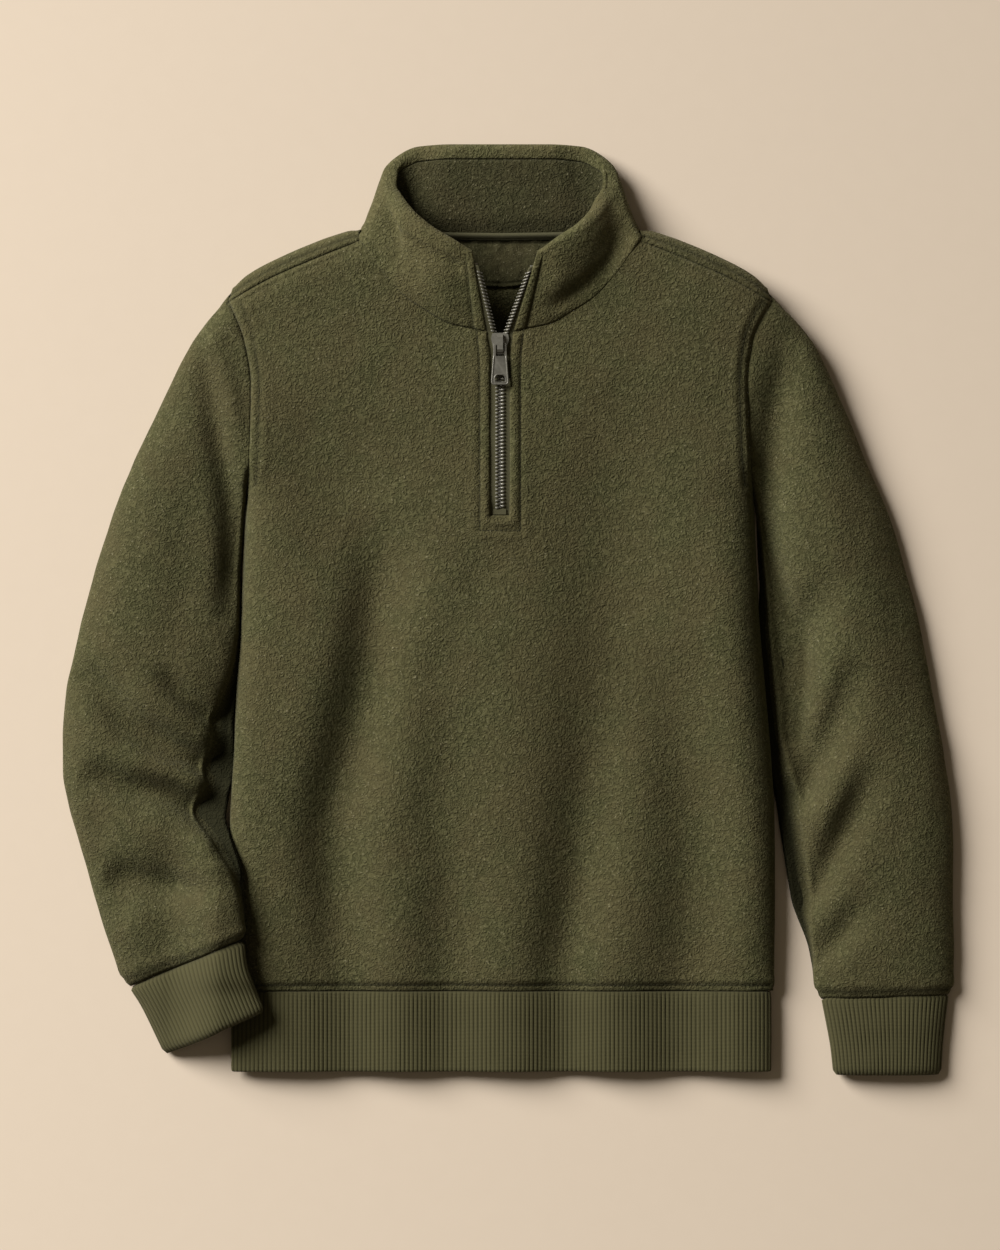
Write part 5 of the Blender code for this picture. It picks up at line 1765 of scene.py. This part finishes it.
@dataclass
class ZipFastener:
    """The zip: its teeth, its tapes, the slider with its bridge, the pull's raised rim and the end stops."""

    collar: Collar
    pitch: float = 2.9
    bar_y: float = 583.0
    covered: tuple[float, float] = (-12.5, 1.0)  # from the split, where the slider hides the teeth
    samples: int = 80
    top: float = 60.0  # height up the collar that a path reaches at 2

    def path(self, side: Side, across: float, depth: float, low: float, high: float) -> Array:
        """Places beside the zip: along it from the tape's bottom (0) to the neckline (1) and the rim (2).

        Args:
            side: which half of the zip.
            across: from the tape's edge outwards.
            depth: under the fleece's face.
            low: where the path starts, along the zip.
            high: where it ends.

        Returns:
            The places.
        """
        along = np.linspace(low, high, self.samples)
        first, next_one = (0, 6) if side is Side.RIGHT else (-1, -7)
        neck = self.collar.at(0.0, depth, first)
        y = TAPE_BOTTOM + along[along <= 1] * (neck[1] - TAPE_BOTTOM)
        opened = abs(neck[0]) - EDGE_TO_TAPE[0] - HALF_MESHED
        x = side.value * (HALF_MESHED + across + opened * np.maximum(y - SPLIT_Y, 0) / (neck[1] - SPLIT_Y))
        dip = TAPE_DIP * smooth((CHAIN_BOTTOM + 6 - y) / 5)
        lower = np.stack([x, y, SHAPE.front_height(x, y) - depth - dip], -1)
        above = along[along > 1][:, None] - 1
        height = above * self.top
        edge, beside = (self.collar.at(height, depth, station) for station in (first, next_one))
        inset = EDGE_TO_TAPE[0] + (EDGE_TO_TAPE[1] - EDGE_TO_TAPE[0]) * above
        return np.concatenate([lower, edge + unit(beside - edge) * (across - inset)])

    def teeth(self, side: Side) -> bpy.types.Object:
        """One row of teeth, each a small block, high where it grips the tape and low where it meshes.

        Formula: a grid across the tooth and round its section, a rounded rectangle whose height and width
        change along the tooth; the tooth is set at even steps along the tape's edge, turned with it.

        Args:
            side: which row.

        Returns:
            The row as one object.
        """
        low = (CHAIN_BOTTOM - TAPE_BOTTOM) / (NECK_Y - TAPE_BOTTOM)
        edge = self.path(side, 0.0, FACE_TO_TAPE, low, 1.88)
        beside = self.path(side, 3.0, FACE_TO_TAPE, low, 1.88)
        along = path_lengths(edge)
        first = 0.5 * self.pitch * (side is Side.LEFT) + 0.8
        stops = np.arange(first, along[-1] - 0.5, self.pitch)
        split = SPLIT_Y - edge[0, 1]
        stops = stops[(stops < split + self.covered[0]) | (stops > split + self.covered[1])]
        centre = np.stack([np.interp(stops, along, edge[:, i]) for i in range(3)], -1)
        away = unit(np.stack([np.interp(stops, along, beside[:, i]) for i in range(3)], -1) - centre)
        ahead = unit(np.stack([np.interp(stops + 0.5, along, edge[:, i]) for i in range(3)], -1) - centre)
        up = unit(np.cross(away, ahead) * side.value)
        reach = np.array([-1.35, -1.2, -0.4, 0.5, 1.0, 2.9, 3.3, 3.4])
        tall = np.array([0.2, 0.35, 0.4, 0.5, 1.4, 1.4, 1.1, 0.6])
        wide = np.array([0.35, 0.55, 0.6, 0.55, 0.8, 0.8, 0.7, 0.45])
        round_it = np.linspace(0, math.tau, 9)[:-1] + math.pi / 8
        ring_y = np.sign(np.cos(round_it)) * np.abs(np.cos(round_it)) ** 0.5
        ring_z = np.sign(np.sin(round_it)) * np.abs(np.sin(round_it)) ** 0.5
        sections = [reach[:, None] + 0 * ring_y, wide[:, None] * ring_y, tall[:, None] * ring_z + 0.45]
        flat = np.stack(sections, -1).reshape(-1, 3)
        points = centre[:, None] + flat[:, 0, None] * away[:, None] + flat[:, 1, None] * ahead[:, None]
        points = points + flat[:, 2, None] * up[:, None]
        sides = grid_faces(len(reach), len(round_it), closed=True).reshape(-1, 4)
        last = (len(reach) - 1) * len(round_it)
        caps = np.array([(0, 1, 2, 3), (0, 3, 4, 7), (7, 4, 5, 6)])
        template = np.concatenate([sides, caps[:, ::-1], caps + last])
        faces = (template + np.arange(len(stops))[:, None, None] * len(flat)).reshape(-1, 4)
        return put_mesh(f"teeth_{side.word}", points.reshape(-1, 3), faces)

    def cord(self, side: Side) -> bpy.types.Object:
        """A tape: a thin wall with a rounded bead along the teeth.

        Args:
            side: which tape.

        Returns:
            The tape.
        """
        low, high = 4 / (NECK_Y - TAPE_BOTTOM), 1.93
        across = np.array([0.0, 0.5, 1.2, 2.2, 3.2, 3.8, 4.6, 7.0, 10.0, 14.0])
        rise = np.array([-0.3, 0.1, 0.3, 0.3, 0.1, 0.0, 0.0, 0.0, 0.0, 0.0])
        lines = [self.path(side, away, FACE_TO_TAPE, low, high) for away in across]
        grid = np.stack([line + (0, 0, up) for line, up in zip(lines, rise)], 1)
        inward = grid_inward(grid)
        inward = np.where(inward[..., 2:].mean() > 0, -inward, inward)
        return wall(f"tape_{side.word}", grid, inward, 0.9)

    def bead(self, name: str, outline: Array, radius: float, lift: float) -> bpy.types.Object:
        """A raised round rim on the pull: a circle carried round a closed outline.

        Args:
            name: of the piece.
            outline: plan places from the middle of the pull's bar.
            radius: of the circle.
            lift: of its centre over the pull's underside.

        Returns:
            The rim.
        """
        closed = np.concatenate([outline, outline[:1]])
        even = resampled(closed, 0.6)[:-1]
        along = unit(np.roll(even, -1, 0) - np.roll(even, 1, 0))
        outward = np.stack([along[:, 1], -along[:, 0]], -1)
        turn = np.linspace(0, math.tau, 11)[:-1]
        flat = even[None] + radius * np.cos(turn)[:, None, None] * outward[None]
        height = np.broadcast_to((radius * np.sin(turn) * 0.8)[:, None], flat.shape[:2])
        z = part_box("zip_pull")[0].z / MM + lift - 0.6 * smooth((flat[..., 1:] + 12) / 4)
        points = np.concatenate([flat + (0, self.bar_y), height[..., None] + z], -1)
        faces = grid_faces(len(turn), len(even), closed=True).reshape(-1, 4)
        around = np.stack([np.arange(len(even)), np.roll(np.arange(len(even)), -1)], -1)
        last = (len(turn) - 1) * len(even)
        close = np.concatenate([around + last, around[:, ::-1]], -1)
        return put_mesh(name, points.reshape(-1, 3), np.concatenate([faces, close]))

    def build(self) -> None:
        """Makes the teeth and tapes, and dresses the slider, the pull and the stops."""
        metal = Finishes.METAL.material
        for side in Side:
            dress(self.teeth(side), metal, stands_for=(f"zip_chain_{side.word}",))
            tape = self.cord(side)
            dress(tape, Finishes.TAPE.material, stands_for=(f"zip_tape_{side.word}",))
        low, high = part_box("zip_pull")
        end = -(high.y - low.y) / MM + 0.9
        outer = np.array([(4.6, 0.3), (4.8, -9), (6.3, end + 4), (6.3, end + 1.6), (5.3, end + 0.6)])
        outer = np.concatenate([outer, outer[::-1] * (-1, 1)])
        window = np.array([(4.4, end + 1.9), (4.4, end + 6.2), (2.7, end + 8.3)])
        window = np.concatenate([window, window[::-1] * (-1, 1)])
        top = (high.z - low.z) / MM
        for name, outline, radius in (("pull_rim", outer, 0.75), ("pull_window_rim", window, 0.5)):
            rim = self.bead(name, outline, radius, top - 0.1)
            dress(rim, metal, body=PULL_BODY)
        for node in ("zip_slider", "zip_pull", "zip_top_stop_right", "zip_top_stop_left"):
            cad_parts[node].data.materials.clear()
            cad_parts[node].data.materials.append(metal)
        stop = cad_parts["zip_bottom_stop"].data.materials
        stop.clear()
        stop.append(Finishes.TAPE.material)


# ---------------------------------------------------------------- inside the neck


@dataclass
class NeckFinish:
    """The tape over the back neck seam and the half-moon patch below it."""

    collar: Collar
    cloth: float = 3.0
    patch_half: float = 62.0
    patch_top: float = 669.5
    patch_depth: float = 38.0

    def build(self) -> None:
        """Makes both: the tape a strip along the seam, the patch a crumpled half-moon with a turned edge."""
        low = self.collar.inner_depth + self.cloth + 2 * GAP
        back = np.nonzero(self.collar.base[:, 2] < 1)[0]
        profile = [(3.6, low - 1.2), (2.0, low - 1.0), (1.4, low + 0.9)]
        profile += [(-1.4, low + 0.6), (-2.0, low - 1.6), (-3.8, low - 1.9)]
        rows = np.array([self.collar.at(height, depth + 0.8)[back] for height, depth in profile])
        under = np.array([self.collar.at(height, depth)[back] for height, depth in profile])[::-1]
        tape = swept("neck_tape_strip", np.concatenate([rows, under]))
        dress(tape, Finishes.TAPE.material, stands_for=("neck_tape",))
        share, down = np.linspace(-1, 1, 121), np.linspace(0, 1, 46)[:, None]
        x = self.patch_half * share + 0 * down
        bottom = self.patch_top - 0.5 - self.patch_depth * np.sqrt(1 - (0.995 * share) ** 2)
        y = self.patch_top + down * (bottom - self.patch_top)
        edge = np.minimum(y - bottom, self.patch_top - y)
        z = self.cloth + 1.9 + 0.9 * waves(x, y, 15, 60) + 0.5 * waves(x, y, 7, 61)
        z = z - bell(edge - 3.0, 0.9) + 0.4 * bell(edge - 1.2, 1.0)
        outer = np.stack([x, y, np.maximum(z, self.cloth + 0.7)], -1)
        # seam mask: painted shade along the patch's stitched edge
        seam = 0.8 * bell(edge - 3.0, 0.9)
        inward = np.broadcast_to((0.0, 0.0, -1.0), outer.shape)
        patch = wall("neck_patch", outer, inward, 0.5, masks={"seam": seam})
        dress(patch, Finishes.PATCH.material, stands_for=("back_neck_patch",))


# ---------------------------------------------------------------- stitching


@dataclass
class Stitching:
    """Thread stitches set along paths in space: each a short round-ended rod, pressed into the cloth."""

    length: float = 2.6
    gap: float = 0.9
    radius: float = 0.32

    def run(self, name: str, paths: list[Array]) -> None:
        """Makes one piece of all the stitches along the paths.

        Formula: a rod of circles whose radius is a half ellipse along it, set at even steps along the path.

        Args:
            name: of the piece.
            paths: places along each seam.
        """
        centres, aheads = [], []
        for path in paths:
            points = resampled(path, (self.length + self.gap) / 2)
            middles = points[1:-1:2]
            centres.append(middles)
            aheads.append(unit(points[2::2][: len(middles)] - points[:-2:2][: len(middles)]))
        centre, ahead = np.concatenate(centres), np.concatenate(aheads)
        aside = unit(np.cross(ahead, (0.0, 0.0, 1.0)))
        up = np.cross(aside, ahead)
        place = np.linspace(-1, 1, 6)
        turn = np.linspace(0, math.tau, 7)[:-1]
        size = self.radius * np.sqrt(np.maximum(1 - np.abs(place) ** 2.5, 0.08))[:, None]
        a, b = size * np.cos(turn), size * np.sin(turn)
        length = (place * self.length / 2)[:, None] + 0 * a
        local = np.stack([length, a, b], -1).reshape(-1, 3)
        points = centre[:, None] + local[:, :1] * ahead[:, None] + local[:, 1:2] * aside[:, None]
        points = points + local[:, 2:] * up[:, None]
        sides = grid_faces(len(place), len(turn), closed=True).reshape(-1, 4)
        caps = np.array([(0, 1, 2, 5), (5, 2, 3, 4)])
        last = (len(place) - 1) * len(turn)
        template = np.concatenate([sides, caps[:, ::-1], caps + last])
        faces = (template + np.arange(len(centre))[:, None, None] * len(local)).reshape(-1, 4)
        dress(put_mesh(name, points.reshape(-1, 3), faces), Finishes.THREAD.material)


# ---------------------------------------------------------------- floor, lights and camera


@dataclass(frozen=True)
class Studio:
    """A pale floor with painted shade towards the top, a soft key light from the upper left, a dim warm sky,
    and a camera straight above.
    """

    distance: float = 3.5
    frame_height: float = 1.0
    middle_y: float = 359.0
    level: float = 0.025

    def build(self) -> None:
        """Adds them all."""
        middle = LAYOUT.place(np.array([0.0, self.middle_y, 0.0]))
        bpy.ops.mesh.primitive_plane_add(size=14.0, location=(middle[0], middle[1], 0.0))
        floor = bpy.context.object
        floor.name = "floor"
        made, n, shader = principled("paper")
        place = n.add("TexCoord").outputs["Object"]
        noise = n.add("TexNoise", {"Vector": place, "Scale": 60.0, "Detail": 4.0})
        tone = n.mix(noise.outputs["Fac"], rgba((0.80, 0.676, 0.540)), rgba((0.82, 0.694, 0.556)))
        # painted shade: the paper is darker towards the top
        split = n.add("SeparateXYZ", {0: place})
        upper = n.add("MapRange", {"Value": split.outputs[1], "From Min": -0.5, "From Max": 0.5})
        upper.inputs["To Max"].default_value = 0.15
        tone = n.mix(upper.outputs[0], tone, rgba((0.0, 0.0, 0.0)))
        n.tree.links.new(tone, shader.inputs["Base Color"])
        shader.inputs["Roughness"].default_value = 0.9
        shader.inputs["Specular IOR Level"].default_value = 0.2
        floor.data.materials.append(made)
        self.light("key", (-4.2, 2.87, 3.08), 3.7, 650.0, middle)
        bpy.context.scene.view_settings.view_transform = "Standard"
        world = bpy.context.scene.world or bpy.data.worlds.new("studio")
        bpy.context.scene.world = world
        world.use_nodes = True
        sky = world.node_tree.nodes["Background"]
        sky.inputs["Color"].default_value = rgba((1.0, 0.86, 0.64))
        sky.inputs["Strength"].default_value = 0.09
        camera = bpy.data.objects.new("camera", bpy.data.cameras.new("camera"))
        bpy.context.collection.objects.link(camera)
        camera.location = (middle[0], middle[1], self.distance)
        sensor = camera.data.sensor_width
        camera.data.lens = sensor * (self.distance - self.level) / self.frame_height
        bpy.context.scene.camera = camera

    def light(
        self, name: str, offset: tuple[float, float, float], size: float, power: float, middle: Array
    ) -> None:
        """A round area light that faces the garment's middle.

        Args:
            name: of the light.
            offset: from the middle, in metres.
            size: its diameter in metres.
            power: in watts.
            middle: of the garment, in metres.
        """
        data = bpy.data.lights.new(name, "AREA")
        data.shape, data.size, data.energy, data.color = "DISK", size, power, (1.0, 0.98, 0.95)
        lamp = bpy.data.objects.new(name, data)
        bpy.context.collection.objects.link(lamp)
        lamp.location = middle + np.array(offset)
        towards = Vector(middle - np.array(lamp.location))
        lamp.rotation_euler = towards.to_track_quat("-Z", "Y").to_euler()


# ---------------------------------------------------------------- everything in order


def main() -> None:
    """Builds the garment from the body outwards, then the studio."""
    logging.basicConfig(level=logging.INFO, format="%(name)s: %(message)s")
    Studio().build()
    body = Body()
    body.build()
    for shape in (RIGHT_SLEEVE, LEFT_SLEEVE):
        Sleeve(shape, *body.rings[shape.side]).build()
    Rib(name="hem_band", rings=hem_rings(body.rings["hem"][0]), stands_for="hem_rib").build()
    collar = Collar(body.rings)
    collar.build()
    NeckFinish(collar).build()
    ZipFastener(collar).build()
    lines = [body.on_front(resampled(line, 1.0)) for line in body.seam_lines()]
    Stitching().run("front_stitches", lines)


if __name__ == "__main__":
    main()
